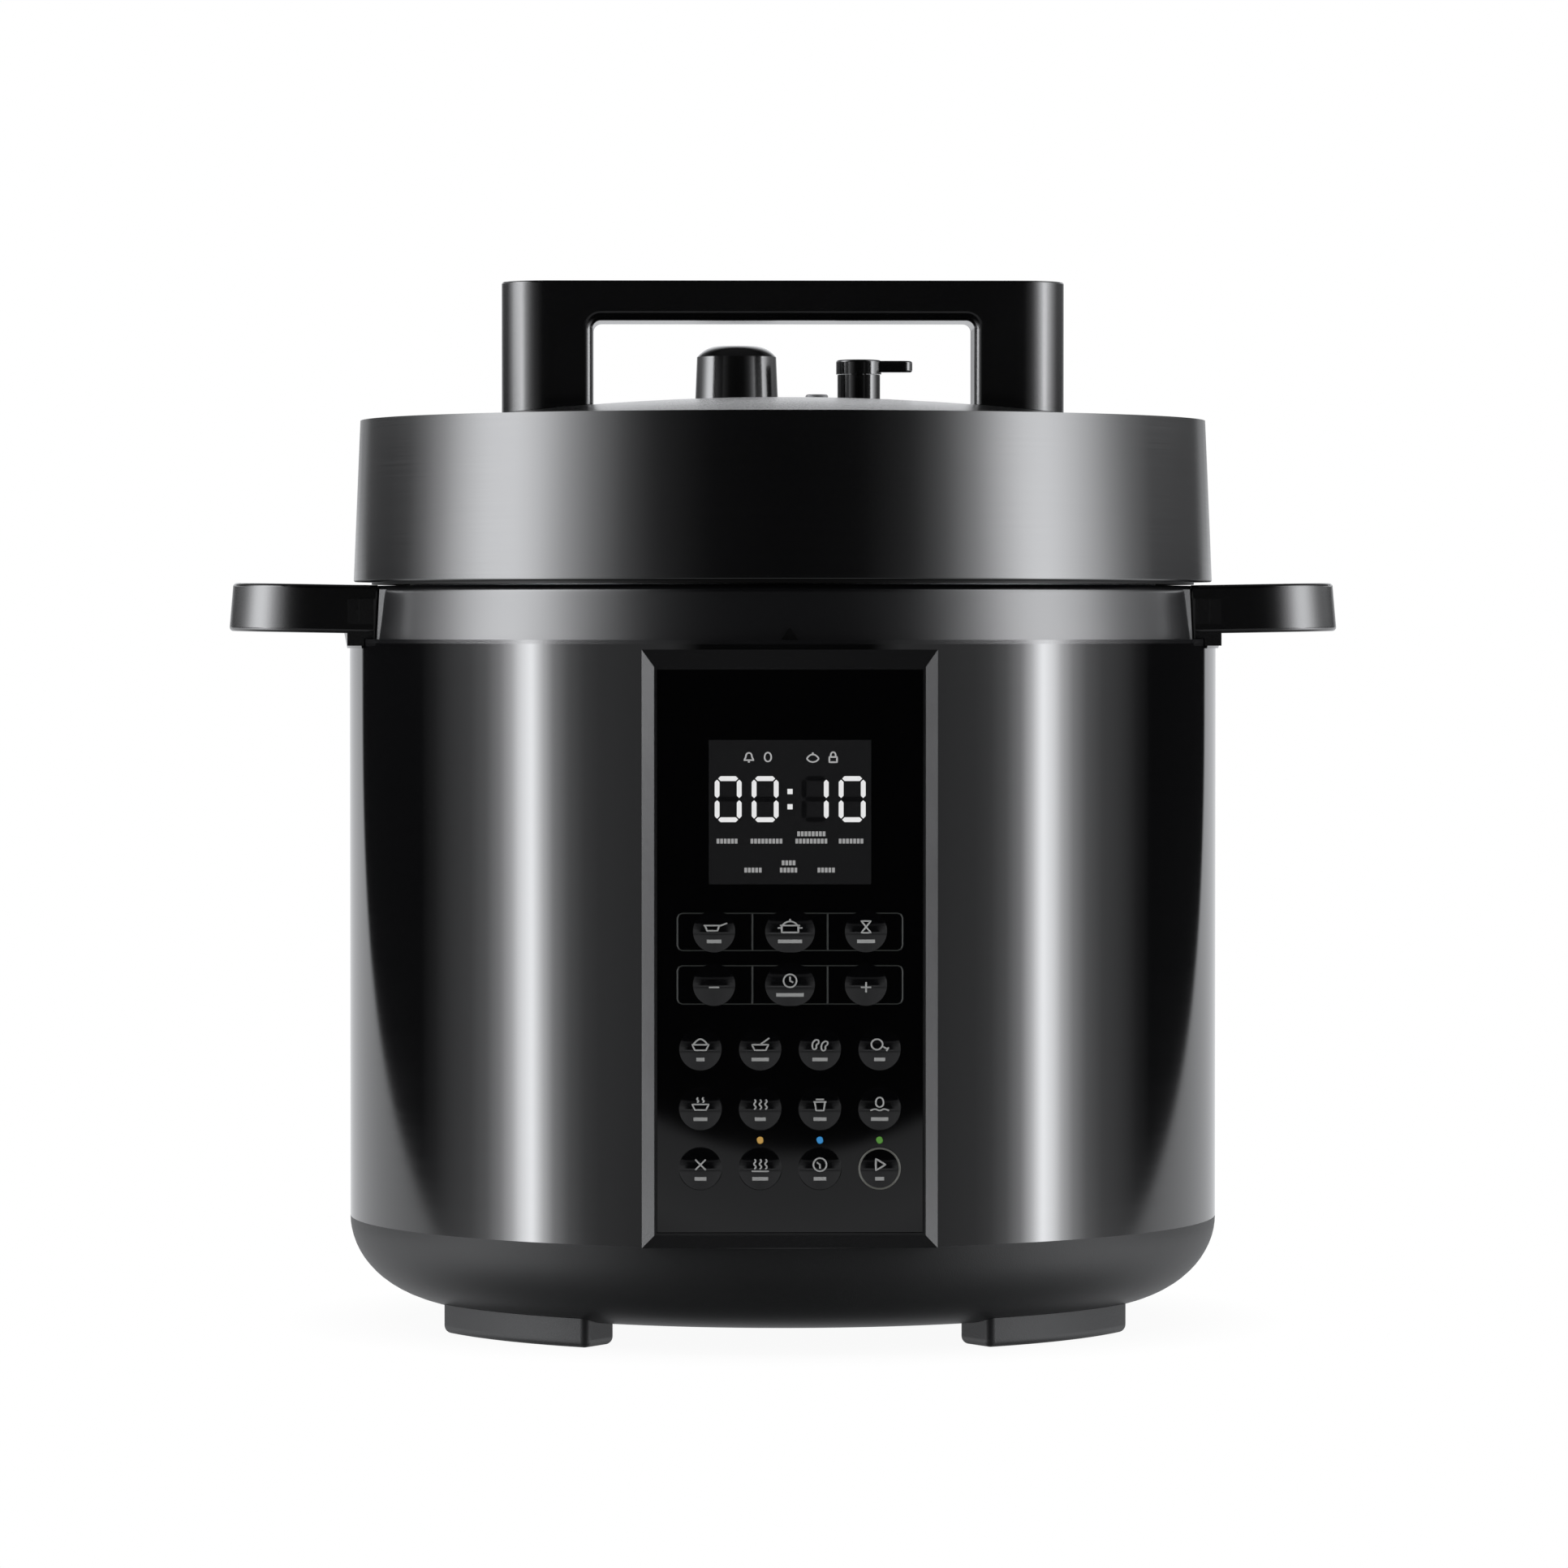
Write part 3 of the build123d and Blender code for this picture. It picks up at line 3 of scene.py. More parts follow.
import bmesh
import bpy
from mathutils import Matrix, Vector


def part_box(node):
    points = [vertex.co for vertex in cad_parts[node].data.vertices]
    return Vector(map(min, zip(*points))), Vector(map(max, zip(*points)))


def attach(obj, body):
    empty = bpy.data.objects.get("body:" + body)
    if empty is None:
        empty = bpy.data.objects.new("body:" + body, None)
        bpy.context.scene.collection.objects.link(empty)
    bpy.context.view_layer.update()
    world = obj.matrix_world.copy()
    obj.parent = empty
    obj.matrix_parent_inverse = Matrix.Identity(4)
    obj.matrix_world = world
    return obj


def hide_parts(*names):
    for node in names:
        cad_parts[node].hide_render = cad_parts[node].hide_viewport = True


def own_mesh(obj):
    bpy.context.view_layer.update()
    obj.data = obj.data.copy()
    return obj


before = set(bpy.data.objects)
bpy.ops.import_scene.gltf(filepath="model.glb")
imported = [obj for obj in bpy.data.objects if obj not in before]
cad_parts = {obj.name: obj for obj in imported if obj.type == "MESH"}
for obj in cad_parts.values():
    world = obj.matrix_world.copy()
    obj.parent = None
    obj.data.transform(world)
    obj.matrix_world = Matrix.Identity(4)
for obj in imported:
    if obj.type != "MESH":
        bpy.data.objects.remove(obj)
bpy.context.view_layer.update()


# Base cover: the dark grey underside of the housing, one moulding with air vents and screw posts.
# Its mould is spark eroded, which leaves a fine grain and a satin sheen.
class Shade:
    """One socket of a shader tree. Sums and products of it add Math nodes."""

    def __init__(self, tree, socket=None):
        self.tree = tree
        self.socket = socket

    def node(self, kind, settings=(), inputs=(), output=0):
        """Adds a node. Stops fill its colour ramp, shades are linked to it, and other values are set."""
        made = self.tree.nodes.new("ShaderNode" + kind)
        for name, value in dict(settings).items():
            if name == "stops":
                ramp = made.color_ramp.elements
                ramp.remove(ramp[1])
                ramp[0].position = value[0][0]
                for place, _ in value[1:]:
                    ramp.new(place)
                for stop, (_, grey) in zip(ramp, value):
                    stop.color = (grey, grey, grey, 1.0)
            else:
                setattr(made, name, value)
        for name, value in dict(inputs).items():
            if isinstance(value, Shade):
                self.tree.links.new(value.socket, made.inputs[name])
            else:
                made.inputs[name].default_value = value
        return Shade(self.tree, made.outputs[output])

    def maths(self, operation, *values):
        return self.node("Math", {"operation": operation}, enumerate(values))

    def __add__(self, other):
        return self.maths("ADD", self, other)

    def __sub__(self, other):
        return self.maths("SUBTRACT", self, other)

    def __rsub__(self, other):
        return self.maths("SUBTRACT", other, self)

    def __mul__(self, other):
        return self.maths("MULTIPLY", self, other)

    def __gt__(self, other):
        return self.maths("GREATER_THAN", self, other)

    def __lt__(self, other):
        return self.maths("LESS_THAN", self, other)

    def __abs__(self):
        return self.maths("ABSOLUTE", self)

    __radd__ = __add__
    __rmul__ = __mul__

    def __truediv__(self, other):
        return self.maths("DIVIDE", self, other)

    def __pow__(self, other):
        return self.maths("POWER", self, other)

    def held(self):
        return self.node("Clamp", inputs={0: self})

    def eased(self, start, end):
        """0 before the start, 1 past the end, and a straight ramp between them."""
        return ((self - start) / (end - start)).held()

    def faded(self, other, share):
        """This shade where the share is 0, and the other one where it is 1."""
        return self * (1 - share) + other * share

    def parts(self):
        return [self.node("SeparateXYZ", inputs={0: self}, output=axis) for axis in range(3)]

    def noise(self, scale, detail=2.0):
        return self.node("TexNoise", inputs={"Vector": self, "Scale": scale, "Detail": detail})

    def blend(self, first, second):
        colours = {0: self, 6: first, 7: second}
        return self.node("Mix", {"data_type": "RGBA"}, colours, output=2)

    def bump(self, depth):
        return self.node("Bump", inputs={"Height": self, "Distance": depth})


def surface(name, **fixed):
    """A material with one Principled surface, and its fixed values on that surface's sockets."""
    material = bpy.data.materials.new(name)
    material.use_nodes = True
    shader = material.node_tree.nodes["Principled BSDF"]
    for socket, value in fixed.items():
        shader.inputs[socket.replace("_", " ")].default_value = value
    place = Shade(material.node_tree).node("TexCoord", output="Object")
    return material, shader, place


def feed(shader, **varying):
    """Links shades to a surface's sockets."""
    for socket, shade in varying.items():
        shade.tree.links.new(shade.socket, shader.inputs[socket.replace("_", " ")])


def paint(material, *nodes):
    """Gives a material to nodes of the frame."""
    for node in nodes:
        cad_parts[node].material_slots[0].material = material


def toned(colour, share):
    """A colour made darker or lighter, as a shader socket takes it."""
    return (colour[0] * share, colour[1] * share, colour[2] * share, 1.0)


def moulded(name, colour, roughness, grain, depth, **fixed):
    """Moulded plastic: the mould's grain, and a sheen that drifts a little over the piece."""
    material, shader, place = surface(name, **fixed)
    drift_scale, drift_share, speck_share = 22.0, 0.06, 0.08
    drift = place.noise(drift_scale, 3.0)
    speck = place.noise(grain)
    smoothest = roughness - (drift_share + speck_share) / 2
    feed(
        shader,
        Base_Color=drift.blend(toned(colour, 0.8), toned(colour, 1.2)),
        Roughness=smoothest + drift * drift_share + speck * speck_share,
        Normal=speck.bump(depth),
    )
    return material


base_grey = (0.0052, 0.0054, 0.0056)
base_satin = moulded("base_satin", base_grey, 0.44, 2400.0, 0.00003, Specular_IOR_Level=0.25)
paint(base_satin, "base_cover")


# Feet: four curved blocks of the same dark grey, a little rougher because they take the weight.
# Their undersides are scuffed from being pushed about on a worktop.
material, shader, place = surface("foot_grey", Specular_IOR_Level=0.3)
scuff_height = 0.0006
height = place.parts()[2]
speck = place.noise(1800.0)
scuff = (height < scuff_height) * place.noise(160.0, 4.0)
feed(
    shader,
    Base_Color=scuff.blend((0.007, 0.0072, 0.0075, 1.0), (0.04, 0.04, 0.04, 1.0)),
    Roughness=0.42 + speck * 0.1 + scuff * 0.2,
    Normal=speck.bump(0.00004),
)
paint(material, "feet")


# Liner and heater: a drawn steel liner with bayonet teeth, and a cast plate with its heater tube
# and sprung sensor inside it. Lathe and drawing lines run round the pot's axis. The base screws and
# the pressure switch are dressed here too.
def turned(place, pitch):
    """Fine lines round the axis, as a lathe tool or a brush leaves them."""
    x, y, z = place.parts()
    radius = (x * x + y * y) ** 0.5
    turn = x.maths("ARCTAN2", y, x)
    breaks = 2.5
    lines = place.node("CombineXYZ", inputs={0: turn * breaks, 1: radius * pitch, 2: z * pitch})
    return lines.noise(1.0, 3.0)


def bare_metal(name, colour, roughness, pitch, depth, stain=0.85):
    """Bare metal with turning lines and the faint clouding of a used surface."""
    material, shader, place = surface(name, Metallic=1.0)
    cloud_scale, line_share, cloud_share = 35.0, 0.12, 0.06
    smoothest = roughness - 0.08
    lines = turned(place, pitch)
    cloud = place.noise(cloud_scale, 4.0)
    feed(
        shader,
        Base_Color=cloud.blend(toned(colour, stain), toned(colour, 1.05)),
        Roughness=smoothest + lines * line_share + cloud * cloud_share,
        Normal=lines.bump(depth),
    )
    return material


paint(bare_metal("liner_drawn", (0.50, 0.50, 0.51), 0.38, 1500.0, 0.00003), "liner_pot")
paint(bare_metal("plate_cast", (0.46, 0.46, 0.47), 0.48, 900.0, 0.00008), "heating_plate")
paint(bare_metal("heater_tube", (0.30, 0.28, 0.26), 0.5, 700.0, 0.00004, 0.6), "heater_ring")
paint(bare_metal("sensor_steel", (0.6, 0.6, 0.61), 0.3, 1800.0, 0.00002), "sensor_cap", "sensor_cup")
paint(bare_metal("screw_zinc", (0.62, 0.62, 0.6), 0.3, 2200.0, 0.00002), "base_screws")
paint(moulded("switch_black", (0.03, 0.03, 0.03), 0.5, 1500.0, 0.00003), "pressure_switch")


# Sensor spring: a coil of steel wire that holds the sensor's cap up against the pot.
# Its foot stands in the cup.
def new_piece(name, shape, material, body):
    """A finished bmesh as a piece that rides on a body of the frame."""
    mesh = bpy.data.meshes.new(name)
    shape.to_mesh(mesh)
    shape.free()
    mesh.materials.append(material)
    piece = bpy.data.objects.new(name, mesh)
    bpy.context.scene.collection.objects.link(piece)
    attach(piece, body)
    return piece


spring_low, spring_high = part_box("sensor_spring")
wire, wire_sides, turns, turn_steps, press = 0.0007, 10, 5, 32, 0.002
spring_height = spring_high.z - spring_low.z
coil_radius = spring_high.x - wire
coil_rise = spring_height - 2 * wire
shape = bmesh.new()
section = bmesh.ops.create_circle(shape, cap_ends=False, segments=wire_sides, radius=wire)["verts"]
bmesh.ops.rotate(shape, verts=section, cent=(0, 0, 0), matrix=Matrix.Rotation(math.pi / 2, 3, "X"))
bmesh.ops.translate(shape, verts=section, vec=(coil_radius, 0.0, spring_low.z + wire))
bmesh.ops.spin(
    shape, geom=shape.edges[:] + shape.verts[:], cent=(0, 0, 0), axis=(0, 0, 1),
    dvec=(0, 0, coil_rise / turns / turn_steps), angle=turns * math.tau, steps=turns * turn_steps,
)
bmesh.ops.holes_fill(shape, edges=[e for e in shape.edges if e.is_boundary])
bmesh.ops.recalc_face_normals(shape, faces=shape.faces)
for face in shape.faces:
    face.smooth = len(face.verts) == 4
spring_wire = bare_metal("spring_wire", (0.5, 0.5, 0.52), 0.28, 2500.0, 0.00001)
spring = new_piece("sensor_coil", shape, spring_wire, "housing")
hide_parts("sensor_spring")
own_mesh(spring)


# Boards: printed circuits in green solder mask, in the base and behind the panel.
# Their tracks show as lighter lines. The key switches and the display's box are dark plastic.
material, shader, place = surface("solder_mask")
tracks = place.node("TexBrick", inputs={"Vector": place, "Scale": 240.0, "Mortar Size": 0.03}, output=1)
feed(
    shader,
    Base_Color=tracks.blend((0.02, 0.11, 0.05, 1.0), (0.05, 0.2, 0.09, 1.0)),
    Roughness=0.35 + place.noise(300.0) * 0.15,
)
paint(material, "power_board", "control_board")
paint(moulded("switch_grey", (0.05, 0.05, 0.055), 0.5, 1500.0, 0.00003), "key_switches")
paint(moulded("light_box", (0.02, 0.02, 0.022), 0.5, 1500.0, 0.00003), "display_module")


# Body shell: a rolled sheet of steel, lacquered black and polished to a deep gloss.
# The sheet's rolling lines still show faintly through the lacquer.
material, shader, place = surface("black_lacquer", Specular_IOR_Level=1.0, IOR=1.5)
lines = turned(place, 420.0)
cloud = place.noise(14.0, 3.0)
feed(
    shader,
    Base_Color=cloud.blend((0.0008, 0.0008, 0.0009, 1.0), (0.0014, 0.0014, 0.0016, 1.0)),
    Roughness=0.035 + cloud * 0.02 + lines * 0.02,
)
paint(material, "body_shell")


# Top collar: the grey ring between body and lid, moulded in satin plastic with a fine flake.
# Its flange, below the ring, is glossier.
material, shader, place = surface("collar_satin", Specular_IOR_Level=1.0, IOR=1.5)
flange_top, flange_gloss = 0.2092, 0.1
flange = place.parts()[2] < flange_top
flake = place.noise(3200.0)
drift = place.noise(30.0, 3.0)
feed(
    shader,
    Base_Color=drift.blend((0.0018, 0.0018, 0.0021, 1.0), (0.003, 0.003, 0.0034, 1.0)),
    Roughness=0.18 + flake * 0.05 + drift * 0.03 - flange * flange_gloss,
    Normal=flake.bump(0.000012),
)
paint(material, "top_collar")
collar_satin = material


# Closing mark: a small black triangle that stands on the collar's lower front edge.
# It is in line with the panel's middle.
def plate(shape, outline, front, depth):
    """Adds a flat plate to a bmesh: an outline in X and Z, its front face at Y = front."""
    corners = [shape.verts.new((x, front + depth, z)) for x, z in outline]
    face = shape.faces.new(corners)
    face.normal_update()
    if face.normal.y > 0:
        face.normal_flip()
    raised = bmesh.ops.extrude_face_region(shape, geom=[face], use_keep_orig=True)
    face.normal_flip()
    front_corners = [v for v in raised["geom"] if isinstance(v, bmesh.types.BMVert)]
    bmesh.ops.translate(shape, verts=front_corners, vec=(0.0, -depth, 0.0))


shape = bmesh.new()
mark_low, mark_high, mark_half = 0.2093, 0.2128, 0.0024
mark_front, mark_depth = -0.1303, 0.0008
outline = [(-mark_half, mark_low), (mark_half, mark_low), (0.0, mark_high)]
plate(shape, outline, mark_front, mark_depth)
mark_black = moulded("mark_black", (0.0008, 0.0008, 0.0008), 0.5, 2000.0, 0.00001, Specular_IOR_Level=0.1)
new_piece("closing_mark", shape, mark_black, "housing")


# Collar ribs: a slim upright wedge on each side of a handle, in the collar's own plastic, wider at its top.
# It stands on the flange, and its bevelled face catches the side light. Corners are X and Y on the right.
rib_low = [(0.1216, 0.04424), (0.1231, 0.04263), (0.1231, 0.0403), (0.121, 0.0426)]
rib_high = [(0.1196, 0.04644), (0.1223, 0.04355), (0.1223, 0.0397), (0.1192, 0.0435)]
rib_foot, rib_head = flange_top, 0.2242
shape = bmesh.new()
for side in (-1, 1):
    for face_side in (-1, 1):
        corners = [shape.verts.new((side * x, face_side * y, rib_foot)) for x, y in rib_low]
        foot = shape.faces.new(corners)
        raised = bmesh.ops.extrude_face_region(shape, geom=[foot], use_keep_orig=True)
        head = [f for f in raised["geom"] if isinstance(f, bmesh.types.BMFace)][0]
        for corner in head.verts:
            spot = (abs(corner.co.x), abs(corner.co.y))
            foot_corner = min(rib_low, key=lambda point: math.dist(point, spot))
            x, y = rib_high[rib_low.index(foot_corner)]
            corner.co = (side * x, face_side * y, rib_head)
bmesh.ops.recalc_face_normals(shape, faces=shape.faces)
new_piece("collar_ribs", shape, collar_satin, "housing")


# Side handles: two hollow black grips hooked under the collar, moulded in a hard satin plastic.
# Their grain is fine, so light draws a clear line along their upper edge.
black_satin = (0.0012, 0.0012, 0.0013)
handle_black = moulded("handle_satin", black_satin, 0.2, 2600.0, 0.00001, Specular_IOR_Level=1.0)
paint(handle_black, "side_handle_right", "side_handle_left")


# Panel frame: the bevelled black bezel round the glass, clipped into the front of the shell.
# Its bevels are satin, so they pick up a long even light.
bezel_black = (0.0014, 0.0014, 0.0016)
panel_black = moulded("bezel_satin", bezel_black, 0.2, 2800.0, 0.00001, Specular_IOR_Level=1.0)
paint(panel_black, "panel_frame")


# Panel glass: a polished pane, printed black behind, with a smoke-grey window over the display.
# The window is only a little lighter than the print round it. The pane is not quite flat: it leans by a
# fraction of a degree towards its sides, which bends what it mirrors.
material, shader, place = surface("black_glass", IOR=1.5)
window_low, window_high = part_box("display_module")
x, y, z = place.parts()
window = (abs(x) < window_high.x) * (z > window_low.z) * (z < window_high.z)
dust = place.noise(60.0, 4.0)
twist_foot, twist_rate = 0.07, 1.57
twist = x * x * (z - twist_foot) * twist_rate
feed(
    shader,
    Base_Color=window.blend((0.0004, 0.0004, 0.0005, 1.0), (0.0105, 0.0105, 0.0108, 1.0)),
    Roughness=0.012 + dust * 0.02,
    Normal=twist.bump(1.0),
)
paint(material, "panel_glass")


# Display: four seven-bar figures on the face of the glass, lit white, with the unlit bars just visible.
# Each bar is a thin six-sided plate, and a colon stands between hours and minutes.
glass_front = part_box("panel_glass")[0].y
ink_depth = 0.00005


def lit(name, colour, level):
    """A surface that glows, with a faint cloudiness in its light."""
    unlit_colour = toned(colour, 0.03)
    material, shader, place = surface(
        name, Base_Color=unlit_colour, Roughness=0.4, Emission_Strength=level
    )
    cloud = place.noise(900.0)
    feed(shader, Emission_Color=cloud.blend(toned(colour, 0.88), toned(colour, 1.0)))
    return material


bar_width = 0.0014
digit_width = 0.0078
digit_height = 0.0133
bar_gap = 0.0003
digit_middle = 0.16315
run = digit_width - bar_width
rise = (digit_height - bar_width) / 2
bar_places = {
    "a": (0.0, rise, run, False),
    "b": (run / 2, rise / 2, rise, True),
    "c": (run / 2, -rise / 2, rise, True),
    "d": (0.0, -rise, run, False),
    "e": (-run / 2, -rise / 2, rise, True),
    "f": (-run / 2, rise / 2, rise, True),
    "g": (0.0, 0.0, run, False),
}
figures = [(-0.0179, "abcdef"), (-0.0072, "abcdef"), (0.0073, "bc"), (0.0180, "abcdef")]
bright = bmesh.new()
dim = bmesh.new()
for digit_place, lit_bars in figures:
    for bar, (x, z, length, upright) in bar_places.items():
        half, edge = length / 2 - bar_gap, bar_width / 2
        outline = [
            (-half, 0.0), (-half + edge, -edge), (half - edge, -edge),
            (half, 0.0), (half - edge, edge), (-half + edge, edge),
        ]
        if upright:
            outline = [(-b, a) for a, b in outline]
        shifted = [(a + x + digit_place, b + z + digit_middle) for a, b in outline]
        plate(bright if bar in lit_bars else dim, shifted, glass_front - ink_depth, 2 * ink_depth)
dot_half, dot_place = 0.00075, 0.0022
for z in (digit_middle + dot_place, digit_middle - dot_place):
    square = [(-dot_half, -dot_half), (dot_half, -dot_half), (dot_half, dot_half), (-dot_half, dot_half)]
    plate(bright, [(a, b + z) for a, b in square], glass_front - ink_depth, 2 * ink_depth)
new_piece("display_figures", bright, lit("figure_white", (1.0, 1.0, 1.0), 0.8), "housing")
unlit = moulded("unlit_bars", (0.0035, 0.0035, 0.0037), 0.1, 2000.0, 0.00001)
new_piece("display_unlit_bars", dim, unlit, "housing")


# Display signs: small lit symbols over the figures, for sound, water, lid and lock.
# They are drawn with one pen, as plain signs. Strokes are in millimetres, the pieces in metres.
def divided(points, closes):
    """Points of straight strokes, close enough together to follow a domed cap."""
    step = 0.6
    ends = points[1:] + points[:1] if closes else points[1:]
    line = []
    for (x0, z0), (x1, z1) in zip(points, ends):
        count = math.ceil(math.hypot(x1 - x0, z1 - z0) / step)
        line += [(x0 + (x1 - x0) * i / count, z0 + (z1 - z0) * i / count) for i in range(count)]
    return line if closes else line + points[-1:]


def drawn(name, strokes, pen, thickness, lift, material, body):
    """Pen strokes of a print. A stroke is its points, and whether it bends and closes.
    lift gives the surface's Y at a place, so that a print follows a domed key."""
    ink = bpy.data.curves.new(name, "CURVE")
    ink.dimensions = "3D"
    ink.bevel_depth = pen / 2
    ink.bevel_resolution = 1
    ink.use_fill_caps = True
    ink.resolution_u = 4
    for points, bends, closes in strokes:
        if not bends:
            points = divided(points, closes)
        spline = ink.splines.new("BEZIER")
        spline.bezier_points.add(len(points) - 1)
        spline.use_cyclic_u = closes
        for knot, (x, z) in zip(spline.bezier_points, points):
            knot.co = (x / 1000, 0.0, z / 1000)
            knot.handle_left_type = knot.handle_right_type = "AUTO" if bends else "VECTOR"
    pattern = bpy.data.objects.new(name + "_pattern", ink)
    bpy.context.scene.collection.objects.link(pattern)
    shape = bmesh.new()
    shape.from_mesh(bpy.data.meshes.new_from_object(pattern))
    bpy.data.objects.remove(pattern)
    bmesh.ops.scale(shape, verts=shape.verts, vec=(1.0, thickness / pen, 1.0))
    for corner in shape.verts:
        corner.co.y += lift(corner.co.x, corner.co.z)
    return new_piece(name, shape, material, body)


def moved(strokes, across, up):
    """The same strokes at another place."""
    return [
        ([(x + across, z + up) for x, z in points], bends, closes)
        for points, bends, closes in strokes
    ]


bell = [
    ([(-1.3, -0.7), (-0.9, 0.1), (-0.7, 0.9), (0.0, 1.3), (0.7, 0.9), (0.9, 0.1), (1.3, -0.7)], True, False),
    ([(-1.5, -0.8), (1.5, -0.8)], False, False),
    ([(-0.3, -1.3), (0.3, -1.3)], False, False),
]
drop = [([(0.0, 1.4), (0.95, -0.2), (0.0, -1.2), (-0.95, -0.2)], True, True)]
lid_sign = [
    ([(-1.6, -0.6), (-1.2, 0.3), (0.0, 0.8), (1.2, 0.3), (1.6, -0.6)], True, True),
    ([(0.0, 0.9), (0.0, 1.4)], False, False),
]
lock = [
    ([(-1.1, 0.1), (1.1, 0.1), (1.1, -1.4), (-1.1, -1.4)], False, True),
    ([(-0.7, 0.1), (-0.6, 1.1), (0.0, 1.5), (0.6, 1.1), (0.7, 0.1)], True, False),
]
state_signs = [(bell, -11.9), (drop, -6.4), (lid_sign, 6.6), (lock, 12.5)]
signs_height, sign_pen = 175.25, 0.0005
strokes = [stroke for sign, x in state_signs for stroke in moved(sign, x, signs_height)]
state_grey = lit("state_grey", (0.5, 0.5, 0.5), 0.75)
drawn(
    "display_signs", strokes, sign_pen, 2 * ink_depth, lambda x, z: glass_front,
    state_grey, "housing",
)


# State bars: rows of short lit blocks under the figures, one row for each state of the cooker.
# They glow a little dimmer than the figures. Each row has the X and Z of its middle, and its length.
state_bars = [
    (-0.0181, 0.1510, 0.0064), (-0.0067, 0.1510, 0.0092), (0.0063, 0.1510, 0.0097),
    (0.0178, 0.1510, 0.0069), (0.0063, 0.1531, 0.0087), (-0.0106, 0.1426, 0.0051),
    (-0.0003, 0.1426, 0.0049), (0.0106, 0.1426, 0.0051), (-0.0003, 0.1447, 0.0042),
]
block_pitch, block_width, block_height = 0.00105, 0.0008, 0.0014
shape = bmesh.new()
for x, z, length in state_bars:
    count = round(length / block_pitch)
    for step in range(count):
        left = x + (step - count / 2) * block_pitch
        right, low, high = left + block_width, z - block_height / 2, z + block_height / 2
        outline = [(left, low), (right, low), (right, high), (left, high)]
        plate(shape, outline, glass_front - ink_depth, 2 * ink_depth)
bar_grey = lit("bar_grey", (0.5, 0.5, 0.5), 0.62)
new_piece("display_state_bars", shape, bar_grey, "housing")


# Key frames: two fine outlines screen printed on the glass, each parted in three.
# The six upper keys come through the glass, one in the middle of each part.
frame_grey = moulded("frame_print", (0.011, 0.013, 0.011), 0.45, 2000.0, 0.00001)
frame_half, part_place, corner, frame_pen = 32.6, 10.9, 1.4, 0.00045
frame_rows = ((119.3, 130.1), (103.8, 114.9))
cut = corner * 0.3
strokes = []
for low, high in frame_rows:
    strokes.append((
        [
            (-frame_half + corner, low), (frame_half - corner, low), (frame_half - cut, low + cut),
            (frame_half, low + corner), (frame_half, high - corner), (frame_half - cut, high - cut),
            (frame_half - corner, high), (-frame_half + corner, high), (-frame_half + cut, high - cut),
            (-frame_half, high - corner), (-frame_half, low + corner), (-frame_half + cut, low + cut),
        ], False, True,
    ))
    for x in (-part_place, part_place):
        strokes.append(([(x, low), (x, high)], False, False))
drawn(
    "key_frames", strokes, frame_pen, ink_depth, lambda x, z: glass_front,
    frame_grey, "housing",
)


# Status lights: three clear light guides that end flush in the glass, over the bottom row of keys.
# A lamp on the board lights each: amber, blue and green from left to right.
material, shader, place = surface("guide_light", Roughness=0.25, Emission_Strength=0.7)
x = place.parts()[0]
blue_from, green_from = 0.0, 0.0173
left_two = (x > blue_from).blend((0.62, 0.36, 0.08, 1.0), (0.035, 0.30, 0.70, 1.0))
all_three = (x > green_from).blend(left_two, (0.10, 0.32, 0.04, 1.0))
haze = place.noise(500.0)
feed(
    shader,
    Emission_Color=all_three,
    Base_Color=haze.blend((0.01, 0.01, 0.01, 1.0), (0.03, 0.03, 0.03, 1.0)),
)
paint(material, "status_lights")


# Keys: eighteen domed caps of polished black plastic that come through the glass.
# Each carries a screen-printed sign, and most a short bar under it. key_signs gives the strokes of each
# sign and the length of its bar.
material, shader, place = surface("key_gloss", Specular_IOR_Level=1.0, IOR=1.5)
haze = place.noise(400.0, 3.0)
feed(
    shader,
    Base_Color=haze.blend((0.0010, 0.0010, 0.0012, 1.0), (0.0018, 0.0018, 0.0020, 1.0)),
    Roughness=0.05 + haze * 0.03,
)
key_nodes = [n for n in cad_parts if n.startswith("key_") and n != "key_switches"]
paint(material, *key_nodes)
print_white = moulded("print_white", (0.32, 0.32, 0.31), 0.5, 2500.0, 0.00001)
bowl = ([(-2.4, 0.2), (-1.6, -1.4), (1.6, -1.4), (2.4, 0.2)], False, True)
dial = ([(0.0, 1.9), (1.9, 0.0), (0.0, -1.9), (-1.9, 0.0)], True, True)
wave = ([(0.0, -1.3), (0.45, -0.6), (-0.1, 0.2), (0.4, 1.0), (0.1, 1.6)], True, False)
waves = [stroke for shift in (-1.7, -0.1, 1.5) for stroke in moved([wave], shift, 0.0)]
bean = (
    [(-2.2, -0.2), (-1.7, 1.2), (-0.6, 1.5), (-0.4, 0.7), (-1.0, 0.1), (-1.1, -0.9), (-1.8, -1.1)],
    True, True,
)
beans = [bean] + moved([bean], 2.6, -0.4)
